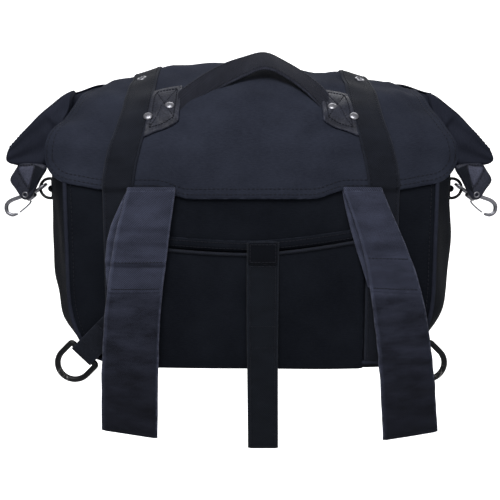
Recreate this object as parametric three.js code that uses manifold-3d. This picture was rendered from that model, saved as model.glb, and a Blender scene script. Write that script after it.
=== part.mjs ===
// Pannier bag: a soft box of canvas with a rolled top, a lid on two webbings, ears held down by snap hooks,
// and hook-and-loop straps on the rack side. Millimetres, +Z up, the rack side faces -Y.
import * as THREE from 'three';
import { mergeVertices } from 'three/addons/utils/BufferGeometryUtils.js';
import Module from 'manifold-3d';

const wasm = await Module();
wasm.setup();

// Driving dimensions
const CLOTH = 2.4; // canvas with its lining
const GAP = 0.3; // between parts that are sewn or riveted together
const DEPTH = 205; // rack face to front face
const BASE_Z = -147;
const RIM_Z = 73; // where the lid bends over the back edge
const BODY_TOP_Z = 58; // upper edge of the front panel and gussets
const HEM_Z = 24; // lower edge of the yoke at mid width
const BACK_HALF = 184; // half width between the back seams
const BASE_HALF = 150; // half width of the base
const GUSSET_BULGE = 36;
const BASE_BULGE = 18;
const FRONT_PUFF = 12;
const LID_HALF = 205;
const RIDGE_Y = 115;
const RIDGE_Z = 166;
const FLAP_Z = -38; // lower edge of the lid's front flap
const WEBBING = { width: 30, thick: 1.6, frontX: 115, backX: 131 };
const POCKET = { half: 113, mouthZ: -28, thick: 1.8, room: 6.5 };
const RACK_STRAP = { width: 54, thick: 2.2, topZ: 33, endZ: -218, underZ: -66 };
const CENTRE_STRAP = { width: 30, thick: 1.8, x: 12, y: -9, topZ: -18, endZ: -232 };
const LOOP_PATCH = { width: 27, height: 20, thick: 1.4, drop: 11 }; // on the centre strap's top
const HANDLE = { half: 68.5, width: 38, thick: 2.6, apexY: 70, apexZ: 164 };
const PATCH = { x: 85.5, width: 27, length: 50, thick: 1.8, row: 3.44 };
const EAR = { root: 206, tip: 275, topZ: 136, drop: 68.5, hemZ: 51, y: 105 };
const TAB = { thick: 5.5, y: 90.2, eyeletX: 251.5, eyeletZ: 23.5 }; // the leather tab below an ear
const SIDE_RING = { x: 224, reach: 14, half: 11, wire: 1.7, z: 28, y: 103 };
const HOOK = { tilt: THREE.MathUtils.degToRad(35), thick: 4.4, arm: 4.2 };
const CORNER_RING = { x: 169, z: -133, y: -5.8, wire: 3, half: 17, reach: 31, tilt: Math.PI / 4 };

const LOOKS = {
  canvas: [0x2d303c, 0.85, 0],
  canvasDark: [0x1c2029, 0.9, 0],
  webbing: [0x1d1e22, 0.8, 0],
  tape: [0x2b2e3a, 0.95, 0],
  leather: [0x343743, 0.5, 0],
  board: [0x16171a, 0.6, 0],
  nickel: [0xb8b8be, 0.25, 1],
  black: [0x08090b, 0.35, 0.3],
};

const bag = new THREE.Group();
const { lerp, clamp, smoothstep } = THREE.MathUtils;
const V = (x, y, z) => new THREE.Vector3(x, y, z);
const P = (x, y) => new THREE.Vector2(x, y);

function add(name, geometry, look) {
  const [color, roughness, metalness] = LOOKS[look];
  const mesh = new THREE.Mesh(geometry, new THREE.MeshStandardMaterial({ color, roughness, metalness }));
  mesh.name = name;
  bag.add(mesh);
}

// A geometry mirrored across X = 0, its faces still pointing out.
function mirrored(geometry) {
  const loose = geometry.index ? geometry.toNonIndexed() : geometry;
  const at = loose.attributes.position;
  const corners = [];
  for (let i = 0; i < at.count; i += 3) {
    for (const k of [0, 2, 1]) corners.push(V(-at.getX(i + k), at.getY(i + k), at.getZ(i + k)));
  }
  return new THREE.BufferGeometry().setFromPoints(corners);
}

// The same part on both sides, its geometry made for the right, +X.
function addPair(name, geometry, look) {
  add(`${name}_right`, geometry, look);
  add(`${name}_left`, mirrored(geometry), look);
}

// A box bent into shape: place(u, v, w) gives each vertex, all three running from 0 to 1.
function moulded(columns, rows, place) {
  const geometry = new THREE.BoxGeometry(1, 1, 1, columns, rows, 1);
  const at = geometry.attributes.position;
  for (let i = 0; i < at.count; i++) {
    const point = place(at.getX(i) + 0.5, at.getY(i) + 0.5, at.getZ(i) + 0.5);
    at.setXYZ(i, point.x, point.y, point.z);
  }
  return geometry;
}

// A closed sheet: surface(u, v) is its inner face, and its thickness lies along the normal.
function sheet(columns, rows, thick, surface) {
  const step = 1e-4;
  return moulded(columns, rows, (u, v, w) => {
    const across = surface(Math.min(1, u + step), v).sub(surface(Math.max(0, u - step), v));
    const up = surface(u, Math.min(1, v + step)).sub(surface(u, Math.max(0, v - step)));
    return surface(u, v).add(across.cross(up).normalize().multiplyScalar(w * thick));
  });
}

// A flat piece drawn in X and Z, its thickness along +Y from y.
function upright(shape, y, depth, curveSegments = 8) {
  const geometry = new THREE.ExtrudeGeometry(shape, { depth, bevelEnabled: false, curveSegments });
  return geometry.rotateX(Math.PI / 2).translate(0, y + depth, 0);
}

// The outline of a line of the given width drawn through points.
function stroke(points, width, samples) {
  const curve = new THREE.SplineCurve(points);
  const sides = [1, -1].map((side) => [...Array(samples + 1).keys()].map((i) => {
    const t = i / samples;
    const along = curve.getTangent(t);
    return curve.getPoint(t).add(P(-along.y, along.x).multiplyScalar((side * width) / 2));
  }));
  return new THREE.Shape([...sides[1], ...sides[0].reverse()]);
}

function solid(geometry) {
  const bare = geometry.clone();
  for (const name of ['normal', 'uv']) bare.deleteAttribute(name);
  const merged = mergeVertices(bare, 1e-4);
  const triVerts = new Uint32Array(merged.index.array);
  return new wasm.Manifold(new wasm.Mesh({ numProp: 3, vertProperties: merged.attributes.position.array, triVerts }));
}

function union(...geometries) {
  const whole = geometries.map(solid).reduce((a, b) => a.add(b)).getMesh();
  const geometry = new THREE.BufferGeometry();
  geometry.setAttribute('position', new THREE.BufferAttribute(whole.vertProperties, 3));
  geometry.setIndex(new THREE.BufferAttribute(whole.triVerts, 1));
  return geometry;
}

// A flat ring in the XY plane, standing on Z = 0.
function washer(outer, inner, height, sides = 12) {
  const points = [P(inner, 0), P(outer, 0), P(outer, height * 0.6), P(inner, height), P(inner, 0)];
  return new THREE.LatheGeometry(points, sides).rotateX(Math.PI / 2);
}

// A domed button in the XY plane, standing on Z = 0.
function button(radius, height, sides = 10) {
  const points = [P(0, 0), P(radius, 0), P(radius, height * 0.5), P(radius * 0.6, height), P(0, height)];
  return new THREE.LatheGeometry(points, sides).rotateX(Math.PI / 2);
}

// Body ------------------------------------------------------------------------------------------------

const SEAM_ROOM = 1.6; // what a gusset's slanted edge needs beside the flat panel
const cornerness = (z) => clamp((-60 - z) / (-60 - BASE_Z), 0, 1);
const backHalf = (z) => BACK_HALF - (BACK_HALF - BASE_HALF) * cornerness(z) ** 3;
const bulgeAt = (z) => GUSSET_BULGE - (GUSSET_BULGE - BASE_BULGE) * cornerness(z) ** 2;
const sideX = (y, z) => backHalf(z) + bulgeAt(z) * Math.sin((Math.PI * y) / DEPTH);

// Outer face of the front panel.
function frontY(x, z) {
  const across = Math.cos((Math.PI * x) / (2 * backHalf(z)));
  return DEPTH + FRONT_PUFF * across * Math.sin((Math.PI * (z - BASE_Z)) / (BODY_TOP_Z - BASE_Z));
}

function buildBody() {
  add('back_panel', sheet(8, 11, CLOTH, (u, v) => {
    const z = lerp(BASE_Z, RIM_Z - 5, v);
    return V((2 * u - 1) * backHalf(z), CLOTH, z);
  }), 'canvasDark');
  add('front_panel', sheet(8, 8, CLOTH, (u, v) => {
    const z = lerp(BASE_Z, BODY_TOP_Z, v);
    const x = (1 - 2 * u) * backHalf(z);
    return V(x, frontY(x, z) - CLOTH, z);
  }), 'canvas');
  addPair('gusset', sheet(6, 8, CLOTH, (u, v) => {
    const y = lerp(CLOTH + SEAM_ROOM, DEPTH - CLOTH - SEAM_ROOM, u);
    const z = lerp(BASE_Z + CLOTH + SEAM_ROOM + 0.8, BODY_TOP_Z, v);
    return V(sideX(y, z) - CLOTH, y, z);
  }), 'canvas');
  add('base_panel', sheet(2, 6, CLOTH, (u, v) => {
    const y = lerp(DEPTH - CLOTH - GAP, CLOTH + GAP, v);
    return V((2 * u - 1) * (sideX(y, BASE_Z) - 1), y, BASE_Z + CLOTH);
  }), 'canvasDark');
}

function buildBoards() {
  const back = new THREE.BoxGeometry(330, 2, 170).translate(0, CLOTH + GAP + 1, -38);
  add('back_board', back, 'board');
  const base = new THREE.BoxGeometry(270, 170, 2).translate(0, DEPTH / 2, BASE_Z + CLOTH + GAP + 1);
  add('base_board', base, 'board');
}

// Rack side -------------------------------------------------------------------------------------------

const YOKE_THICK = 1.8;
const WRAP_START = 186;
const HEM_RISE = 9; // the hem is higher above the rack straps
const HEM_CORNER = 18;
const WEBBING_Y = -GAP - YOKE_THICK - GAP;
const LID_COLUMNS = 14; // the outermost column on each side is the stretch that curls back
const wrap = (x) => 8 * Math.max(0, (Math.abs(x) - WRAP_START) / (LID_HALF - WRAP_START)) ** 2;

// X across the lid or the yoke for u from 0 to 1, with a column's edge where the curl starts.
function lidX(u) {
  const side = Math.abs(2 * u - 1);
  const knee = 1 - 2 / LID_COLUMNS;
  const x = side < knee ? (WRAP_START * side) / knee : lerp(WRAP_START, LID_HALF, (side - knee) / (1 - knee));
  return Math.sign(u - 0.5) * x;
}

const webbingX = (z) => lerp(WEBBING.backX, WEBBING.frontX, smoothstep(z, 30, 120));

function hemZ(x) {
  const corner = clamp((Math.abs(x) - LID_HALF + HEM_CORNER) / HEM_CORNER, 0, 1);
  return HEM_Z + HEM_RISE * smoothstep(Math.abs(x), 60, 95) + HEM_CORNER * (1 - Math.sqrt(1 - corner ** 2));
}

function buildRackSide() {
  add('yoke', sheet(LID_COLUMNS, 2, YOKE_THICK, (u, v) => {
    const x = lidX(u);
    return V(x, wrap(x) - GAP, lerp(hemZ(x), RIM_Z + 1, v));
  }), 'canvas');
  addPair('back_webbing', sheet(1, 9, WEBBING.thick, (u, v) => {
    const z = lerp(BASE_Z + 4, RIM_Z + 1, v);
    return V(webbingX(z) + (u - 0.5) * WEBBING.width, WEBBING_Y, z);
  }), 'webbing');
  add('pocket_panel', sheet(8, 5, POCKET.thick, (u, v) => {
    const room = POCKET.room * Math.sqrt(Math.sin(Math.PI * clamp(u, 1e-4, 1 - 1e-4)));
    const y = -GAP - room * Math.sin((Math.PI / 2) * v);
    return V((2 * u - 1) * POCKET.half, y, lerp(BASE_Z + 3, POCKET.mouthZ, v));
  }), 'canvasDark');
}

// A layer of a rack strap: it starts near the hem at topY, bows out to lowY and leans sideways as it falls.
function strapLayer(rows, lean, topY, lowY, endZ) {
  const { width, thick, topZ } = RACK_STRAP;
  return sheet(1, rows, thick, (u, v) => {
    const z = lerp(endZ, topZ, v);
    const fall = (topZ - z) / (topZ - RACK_STRAP.endZ);
    const x = lean.from + lean.by * (1 - (1 - fall) ** lean.power);
    return V(x + (u - 0.5) * width, lerp(lowY, topY, smoothstep(z, -15, topZ)), z);
  });
}

function buildStraps() {
  const leans = { left: { from: -96, by: -28.5, power: 3 }, right: { from: 108, by: 57, power: 1.7 } };
  for (const [side, lean] of Object.entries(leans)) {
    add(`rack_strap_${side}`, strapLayer(16, lean, -7.4, -13.6, RACK_STRAP.endZ), 'tape');
    add(`rack_strap_under_${side}`, strapLayer(6, lean, -4.6, -10.4, RACK_STRAP.underZ), 'tape');
  }
  const { x, y, width, thick, topZ, endZ } = CENTRE_STRAP;
  add('centre_strap', new THREE.BoxGeometry(width, thick, topZ - endZ, 1, 1, 6)
    .translate(x, y - thick / 2, (topZ + endZ) / 2), 'tape');
  const patchY = y - thick - GAP - LOOP_PATCH.thick / 2;
  add('centre_patch', new THREE.BoxGeometry(LOOP_PATCH.width, LOOP_PATCH.thick, LOOP_PATCH.height)
    .translate(x, patchY, topZ - LOOP_PATCH.drop), 'webbing');
}

// Lid -------------------------------------------------------------------------------------------------

const rearSlope = new THREE.QuadraticBezierCurve(P(-1, RIM_Z + 2), P(9, 120), P(RIDGE_Y, RIDGE_Z));
const frontSlope = new THREE.QuadraticBezierCurve(P(RIDGE_Y, RIDGE_Z), P(208, 142), P(DEPTH + 13, 66));
const flapFall = new THREE.LineCurve(P(DEPTH + 13, 66), P(DEPTH + 14, FLAP_Z));
const REAR_ROWS = 8;
const FRONT_ROWS = 7;
const FLAP_ROWS = 2;
const LID_ROWS = REAR_ROWS + FRONT_ROWS + FLAP_ROWS;
const WEBBING_LIFT = CLOTH + 2.2; // clear of the lid's facets
const shoulderDrop = (x) => 14 * smoothstep(Math.abs(x), 84, 140) + 11 * smoothstep(Math.abs(x), 165, LID_HALF);
const riseShare = (z) => Math.max(0, (z - RIM_Z) / (RIDGE_Z - RIM_Z));

// A point of the lid's inner face: row runs from 0 at the rear rim to LID_ROWS at the front hem.
function lidPoint(x, row) {
  let p = flapFall.getPoint((row - REAR_ROWS - FRONT_ROWS) / FLAP_ROWS);
  if (row <= REAR_ROWS + FRONT_ROWS) p = frontSlope.getPoint((row - REAR_ROWS) / FRONT_ROWS);
  if (row <= REAR_ROWS) p = rearSlope.getPoint(row / REAR_ROWS);
  const curl = wrap(x) * Math.max(0, 1 - row / REAR_ROWS);
  return V(x, p.x + curl, p.y - shoulderDrop(x) * riseShare(p.y));
}

// A frame on the lid: its Z axis is the lid's normal, its X axis lies across the lid.
function lidFrame(x, row, lift) {
  const across = lidPoint(x + 0.5, row).sub(lidPoint(x - 0.5, row)).normalize();
  const up = lidPoint(x, row + 0.01).sub(lidPoint(x, row - 0.01)).normalize();
  const out = across.clone().cross(up).normalize();
  const frame = new THREE.Matrix4().makeBasis(across, out.clone().cross(across), out);
  return frame.setPosition(lidPoint(x, row).addScaledVector(out, lift));
}

const onLid = (geometry, x, row, lift) => geometry.applyMatrix4(lidFrame(x, row, lift));

function buildLid() {
  add('lid_panel', sheet(LID_COLUMNS, LID_ROWS, CLOTH, (u, v) => lidPoint(lidX(u), v * LID_ROWS)), 'canvas');
  addPair('lid_webbing', sheet(1, LID_ROWS, WEBBING.thick, (u, v) => {
    const row = v * LID_ROWS;
    const x = row < REAR_ROWS ? webbingX(lidPoint(WEBBING.frontX, row).z) : WEBBING.frontX;
    return V(0, 0, WEBBING_LIFT).applyMatrix4(lidFrame(x + (u - 0.5) * WEBBING.width, row, 0));
  }), 'webbing');
  const eyeletLift = WEBBING_LIFT + WEBBING.thick + GAP;
  addPair('lid_eyelet', onLid(washer(5, 2.6, 1.4), WEBBING.frontX + 3, REAR_ROWS - 1.3, eyeletLift), 'nickel');
}

function buildHandle() {
  const lift = CLOTH + 0.6;
  const { x, width, length, thick, row } = PATCH;
  addPair('handle_patch', onLid(new THREE.BoxGeometry(width, length, thick), x, row, lift + thick / 2), 'leather');
  for (const [name, across, up] of [['rivet_upper', -4, 8], ['rivet_lower', 8, -8]]) {
    addPair(name, onLid(button(4, 1.6).translate(across, up, 0), x, row, lift + thick + GAP), 'nickel');
  }
  // The strap's ends lie on the lid beside the patches, its middle stands up and back as an arch.
  const end = V(0, 0, lift).applyMatrix4(lidFrame(HANDLE.half, row, 0));
  add('handle_strap', sheet(1, 14, HANDLE.thick, (u, v) => {
    const rise = Math.sin(Math.PI * clamp(v, 0, 1)) ** 0.8;
    const lean = THREE.MathUtils.degToRad(lerp(43, 18, rise));
    const y = lerp(end.y, HANDLE.apexY, rise) + (0.5 - u) * HANDLE.width * Math.cos(lean);
    const z = lerp(end.z, HANDLE.apexZ, rise) + (0.5 - u) * HANDLE.width * Math.sin(lean);
    return V((2 * v - 1) * HANDLE.half, y, z);
  }), 'webbing');
}

// The flap's webbings end in leather tips that snap onto studs of the front panel.
function buildClosure() {
  const { frontX } = WEBBING;
  const top = V(0, DEPTH + 16.2, FLAP_Z - 0.8);
  addPair('closure_tip', sheet(2, 5, 2.4, (u, v) => {
    const half = 11 * Math.sqrt(1 - clamp((0.25 - v) / 0.25, 0, 0.95) ** 2);
    return V(frontX + (1 - 2 * u) * half, top.y - 6 * (1 - v), top.z - 40 * (1 - v));
  }), 'leather');
  const snapZ = -67;
  const facing = new THREE.Matrix4().makeRotationX(-Math.PI / 2);
  addPair('snap_cap', button(6, 2).applyMatrix4(facing).translate(frontX, DEPTH + 15.9, snapZ), 'nickel');
  const studY = frontY(frontX, snapZ) + 0.6;
  addPair('snap_stud', button(4.5, 2).applyMatrix4(facing).translate(frontX, studY, snapZ), 'nickel');
}

// Rolled top ------------------------------------------------------------------------------------------

const COLLAR_HALF = 183;
const ROLL = { half: 204, thick: 14, height: 30, top: 7 };
const collarBack = new THREE.QuadraticBezierCurve(P(1.5, RIM_Z - 4), P(14, 112), P(RIDGE_Y - 9, RIDGE_Z - 20));
const collarFront = new THREE.QuadraticBezierCurve(P(DEPTH - 3, BODY_TOP_Z + 2), P(DEPTH - 4, 118),
  P(RIDGE_Y + 9, RIDGE_Z - 20));
const sloped = (x, p) => V(x, p.x, p.y - shoulderDrop(x) * riseShare(p.y));

function buildRolledTop() {
  add('collar_back', sheet(6, 6, 1.6, (u, v) => sloped((2 * u - 1) * COLLAR_HALF, collarBack.getPoint(v))), 'canvas');
  add('collar_front', sheet(6, 6, 1.6, (u, v) => sloped((1 - 2 * u) * COLLAR_HALF, collarFront.getPoint(v))), 'canvas');
  addPair('collar_end', sheet(6, 4, 1.6, (u, v) => {
    const back = collarBack.getPoint(v);
    const front = collarFront.getPoint(v);
    const y = lerp(back.x + 5, front.x - 5, u);
    const inset = (sideX(y, BODY_TOP_Z) - COLLAR_HALF - 1) * (1 - v) ** 4;
    const z = lerp(BODY_TOP_Z + 1.5, RIDGE_Z - 64, v);
    return V(COLLAR_HALF + 1 + inset, y, z);
  }), 'canvas');
  add('top_roll', sheet(10, 1, ROLL.thick, (u, v) => {
    const x = (2 * u - 1) * ROLL.half;
    const top = RIDGE_Z - shoulderDrop(x) - ROLL.top;
    return V(x, RIDGE_Y + ROLL.thick / 2, top - ROLL.height * (1 - v));
  }), 'canvas');
}

// Ears: the ends of the rolled top, folded down -------------------------------------------------------

function buildEars() {
  const { root, tip, topZ, drop, hemZ: low, y } = EAR;
  const width = (u, v) => lerp(40, 12, u ** 0.7) * lerp(1, 0.45, Math.abs(2 * v - 1) ** 3);
  addPair('ear', moulded(6, 5, (u, v, w) => {
    const top = topZ - drop * u ** 1.5;
    const bottom = lerp(64, low, smoothstep(u, 0.02, 0.28)) + 8 * u ** 2;
    const start = root + 16 * (1 - v) ** 3;
    return V(lerp(start, tip, u), y - 8 * u + width(u, v) * (0.5 - w), lerp(bottom, top, v));
  }), 'canvas');
  const outline = [P(227, 46), P(231, 49.5), P(257, 49.5), P(268, 38), P(256, 18), P(247, 18), P(239, 33)];
  addPair('ear_tab', upright(new THREE.Shape(outline), TAB.y, TAB.thick), 'leather');
  const facing = new THREE.Matrix4().makeRotationX(Math.PI / 2);
  const eyelet = washer(4.5, 2.4, 1.2).applyMatrix4(facing);
  addPair('tab_eyelet', eyelet.translate(TAB.eyeletX, TAB.y - GAP, TAB.eyeletZ), 'nickel');
}

// Rings and snap hooks --------------------------------------------------------------------------------

// A D-shaped ring in the XY plane: its bar lies on X = 0 from -half to half, its bow ends at X = reach.
function ringSolid(half, reach, radius) {
  const arc = (grow, back) => {
    const points = [];
    const r = half + grow;
    for (let i = 0; i <= 8; i++) {
      const angle = -Math.PI / 2 + (Math.PI * i) / 8;
      points.push(P(reach - half + r * Math.cos(angle), r * Math.sin(angle)));
    }
    return [P(back, -r), ...points, P(back, r)];
  };
  const shape = new THREE.Shape(arc(radius * 0.55, -radius * 0.55));
  shape.holes.push(new THREE.Path(arc(-radius * 0.55, radius * 0.55)));
  const bevel = radius * 0.45;
  const settings = { depth: radius * 1.1, bevelSize: bevel, bevelThickness: bevel, bevelSegments: 1, steps: 1 };
  return new THREE.ExtrudeGeometry(shape, settings).translate(0, 0, -radius * 0.55);
}

// A webbing loop around a bar that lies along Z at the origin.
function barLoop(wireRadius, length) {
  const shape = new THREE.Shape().absarc(0, 0, wireRadius + 2, 0, Math.PI * 2);
  shape.holes.push(new THREE.Path().absarc(0, 0, wireRadius + 0.6, 0, Math.PI * 2));
  const settings = { depth: length, bevelEnabled: false, curveSegments: 5 };
  return new THREE.ExtrudeGeometry(shape, settings).translate(0, 0, -length / 2);
}

function buildSideRings() {
  const { x, reach, half, wire, z, y } = SIDE_RING;
  const patch = new THREE.BoxGeometry(1.4, 20, 36).translate(x - wire - 1.6, y, z);
  addPair('side_keeper', union(patch, barLoop(wire, 12).translate(x, y, z)), 'webbing');
  addPair('side_ring', ringSolid(half, reach, wire).rotateX(Math.PI / 2).translate(x, y, z), 'black');
}

// A snap hook lies in the XZ plane with its pivot, the side ring's bow, at the origin and its jaw at +X.
const onHook = (geometry) => geometry.rotateY(HOOK.tilt)
  .translate(SIDE_RING.x + SIDE_RING.reach, SIDE_RING.y, SIDE_RING.z);

function buildHooks() {
  const oval = (a, b) => new THREE.Path().absellipse(0, 0, a, b, 0, Math.PI * 2).getPoints(6);
  const eyeShape = new THREE.Shape(oval(9.5, 6.8));
  eyeShape.holes.push(new THREE.Path(oval(6.9, 4.2)));
  const eye = new THREE.ExtrudeGeometry(eyeShape, { depth: 3, bevelEnabled: false }).translate(0, 0, -1.5);
  const block = new THREE.BoxGeometry(11, 6, 9).translate(14, 0, 0);
  const armLine = [P(16, 2), P(26, 5.5), P(36, 8), P(43.5, 6.3), P(47, 0), P(44, -6), P(38.5, -8.3)];
  const arm = upright(stroke(armLine, HOOK.arm, 14), -HOOK.thick / 2, HOOK.thick);
  addPair('snap_hook', onHook(union(eye, block, arm)), 'nickel');
  const gateLine = [P(17.5, -6.5), P(26, -7.8), P(35, -8.4)];
  addPair('hook_gate', onHook(upright(stroke(gateLine, 1.4, 3), -1.8, 3.6)), 'nickel');
  const facing = new THREE.Matrix4().makeRotationX(Math.PI / 2);
  addPair('hook_rivet', onHook(button(3, 1.2).applyMatrix4(facing).translate(14, -3 - GAP, 0)), 'nickel');
}

function buildCornerRings() {
  const { x, z, y, half, reach, wire, tilt } = CORNER_RING;
  const placed = (geometry) => geometry.rotateY(tilt).translate(x, y, z);
  const tail = new THREE.BoxGeometry(58, 1.4, 24).translate(-29, -1.1 - y, 0);
  addPair('corner_keeper', placed(union(tail, barLoop(wire, 24))), 'webbing');
  addPair('corner_ring', placed(ringSolid(half, reach, wire).rotateX(Math.PI / 2)), 'black');
}

buildBody();
buildBoards();
buildRackSide();
buildStraps();
buildLid();
buildHandle();
buildClosure();
buildRolledTop();
buildEars();
buildSideRings();
buildHooks();
buildCornerRings();

export default bag;
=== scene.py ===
"""Pannier bag: soft shells, straps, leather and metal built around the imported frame, then lit and framed.

Shapes are worked out in millimetres and put into meshes in metres. X runs across the bag, Y from the rack
side to the front, Z up. Every surface is a function of two parameters on a grid, or a profile along a path.
"""

import math

import bpy
import numpy as np
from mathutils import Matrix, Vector


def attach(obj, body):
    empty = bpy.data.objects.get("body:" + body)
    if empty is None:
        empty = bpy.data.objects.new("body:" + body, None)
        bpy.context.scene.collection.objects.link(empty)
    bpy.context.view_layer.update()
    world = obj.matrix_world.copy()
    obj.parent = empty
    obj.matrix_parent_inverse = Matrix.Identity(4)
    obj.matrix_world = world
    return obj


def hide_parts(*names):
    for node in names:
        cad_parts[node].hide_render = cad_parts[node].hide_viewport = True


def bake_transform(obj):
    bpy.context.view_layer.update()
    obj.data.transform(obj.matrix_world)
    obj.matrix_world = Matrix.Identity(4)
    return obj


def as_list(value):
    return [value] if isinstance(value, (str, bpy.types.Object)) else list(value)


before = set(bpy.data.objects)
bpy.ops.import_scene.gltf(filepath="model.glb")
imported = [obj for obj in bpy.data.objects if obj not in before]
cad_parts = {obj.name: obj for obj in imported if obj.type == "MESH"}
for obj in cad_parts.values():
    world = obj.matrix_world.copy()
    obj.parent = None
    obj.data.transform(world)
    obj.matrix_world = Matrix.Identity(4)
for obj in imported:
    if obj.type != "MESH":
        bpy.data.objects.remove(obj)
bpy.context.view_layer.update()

MM = 0.001
TAU = 2 * math.pi

# The bag's own dimensions, in millimetres
DEPTH, BASE_Z, RIM_Z, BODY_TOP_Z = 205, -147, 73, 58
BACK_HALF, BASE_HALF, LID_HALF = 184, 150, 203
HEM_Z, FLAP_Z, RIDGE_Y, RIDGE_Z = 24, -38, 115, 166
REAR_ROWS, FRONT_ROWS, FLAP_ROWS = 8, 7, 2
LID_CLOTH = 2.2
WEBBING_WIDTH, WEBBING_THICK = 30, 1.6
STRAP_TOP, STRAP_END, STRAP_STEP = 33, -218, -68  # heights of a rack strap's top, end and second layer's end
TIP_X, TIP_LONG, SNAP_Z = 115, 43, -67  # a closure tip's middle and length, and the height of its snap
RING_X, RING_Y, RING_Z = 224, 103, 28  # the middle of the right side ring's bar


# Numbers and curves ----------------------------------------------------------------------------------


def ease(x, low, high):
    """0 below low, 1 above high, and a smooth cubic step between them."""
    t = np.clip((x - low) / (high - low), 0, 1)
    return t * t * (3 - 2 * t)


def lerp(a, b, t):
    return a + (b - a) * t


def bump(x, centre, spread):
    """A bell of height 1 at centre, falling off with the square of the distance over spread."""
    return np.exp(-(((x - centre) / spread) ** 2))


def unit(vectors):
    return vectors / np.maximum(np.linalg.norm(vectors, axis=-1, keepdims=True), 1e-9)


def xyz(x, y, z):
    return np.stack(np.broadcast_arrays(x, y, z), -1).astype(float)


def crumple(p, q, span, seed):
    """Soft unevenness between about -1 and 1: the sum of eight seeded sine waves near span long."""
    rng = np.random.default_rng(seed)
    turn, length, phase = rng.uniform([0, 0.6 * span, 0], [math.pi, 1.7 * span, TAU], (8, 3)).T
    along = p[..., None] * np.cos(turn) + q[..., None] * np.sin(turn)
    return np.sin(TAU * along / length + phase).sum(-1) / 4


def bezier(points, t):
    """A quadratic Bezier through the first and last of three points."""
    a, b, c = np.array(points, float)
    t = np.asarray(t, float)[..., None]
    return a * (1 - t) ** 2 + 2 * b * t * (1 - t) + c * t * t


def spline(points, count, closed=False):
    """A Catmull-Rom curve through points, resampled at count even steps of its length."""
    p = np.array(points, float)
    ends = (p[-1:], p[:2]) if closed else (2 * p[:1] - p[1:2], 2 * p[-1:] - p[-2:-1])
    p = np.concatenate([ends[0], p, ends[1]])
    t = np.linspace(0, 1, 24, endpoint=False)[None, :, None]
    a, b, c, d = (p[i : len(p) - 3 + i, None] for i in range(4))
    curve = 0.5 * (2 * b + (c - a) * t + (2 * a - 5 * b + 4 * c - d) * t**2 + (3 * b - a - 3 * c + d) * t**3)
    curve = np.concatenate([curve.reshape(-1, p.shape[1]), p[-2:-1]])
    return along(curve, np.linspace(0, 1, count + 1)[:count] if closed else np.linspace(0, 1, count))


def run_length(path):
    return np.concatenate([[0], np.cumsum(np.linalg.norm(np.diff(path, axis=0), axis=-1))])


def along(path, share):
    """Points at shares, 0 to 1, of a path's length."""
    at = run_length(path)
    return np.stack([np.interp(np.asarray(share) * at[-1], at, column) for column in path.T], -1)


def softened(path, reach):
    """A path whose every point becomes the mean of its neighbours up to reach steps away; its ends stay."""
    padded = np.concatenate([2 * path[:1] - path[reach:0:-1], path, 2 * path[-1:] - path[-2 : -reach - 2 : -1]])
    kernel = np.ones(2 * reach + 1) / (2 * reach + 1)
    return np.stack([np.convolve(column, kernel, "valid") for column in padded.T], -1)


# Meshes ----------------------------------------------------------------------------------------------


def facing(points, ring=False):
    """Normals of a grid of points: the direction across its columns crossed with that up its rows."""
    across = np.gradient(points, axis=1)
    if ring:
        across = np.roll(points, -1, 1) - np.roll(points, 1, 1)
    return unit(np.cross(across, np.gradient(points, axis=0)))


def ringed(grid):
    """A grid with its first column repeated after the last, which closes it."""
    return np.concatenate([grid, grid[:, :1]], 1)


def measured(points):
    """UVs in metres: mean lengths along a grid's columns and rows."""
    u = np.concatenate([[0], np.linalg.norm(np.diff(points, axis=1), axis=-1).mean(0).cumsum()])
    v = np.concatenate([[0], np.linalg.norm(np.diff(points, axis=0), axis=-1).mean(1).cumsum()])
    return np.stack(np.meshgrid(u, v), -1) * MM


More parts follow.
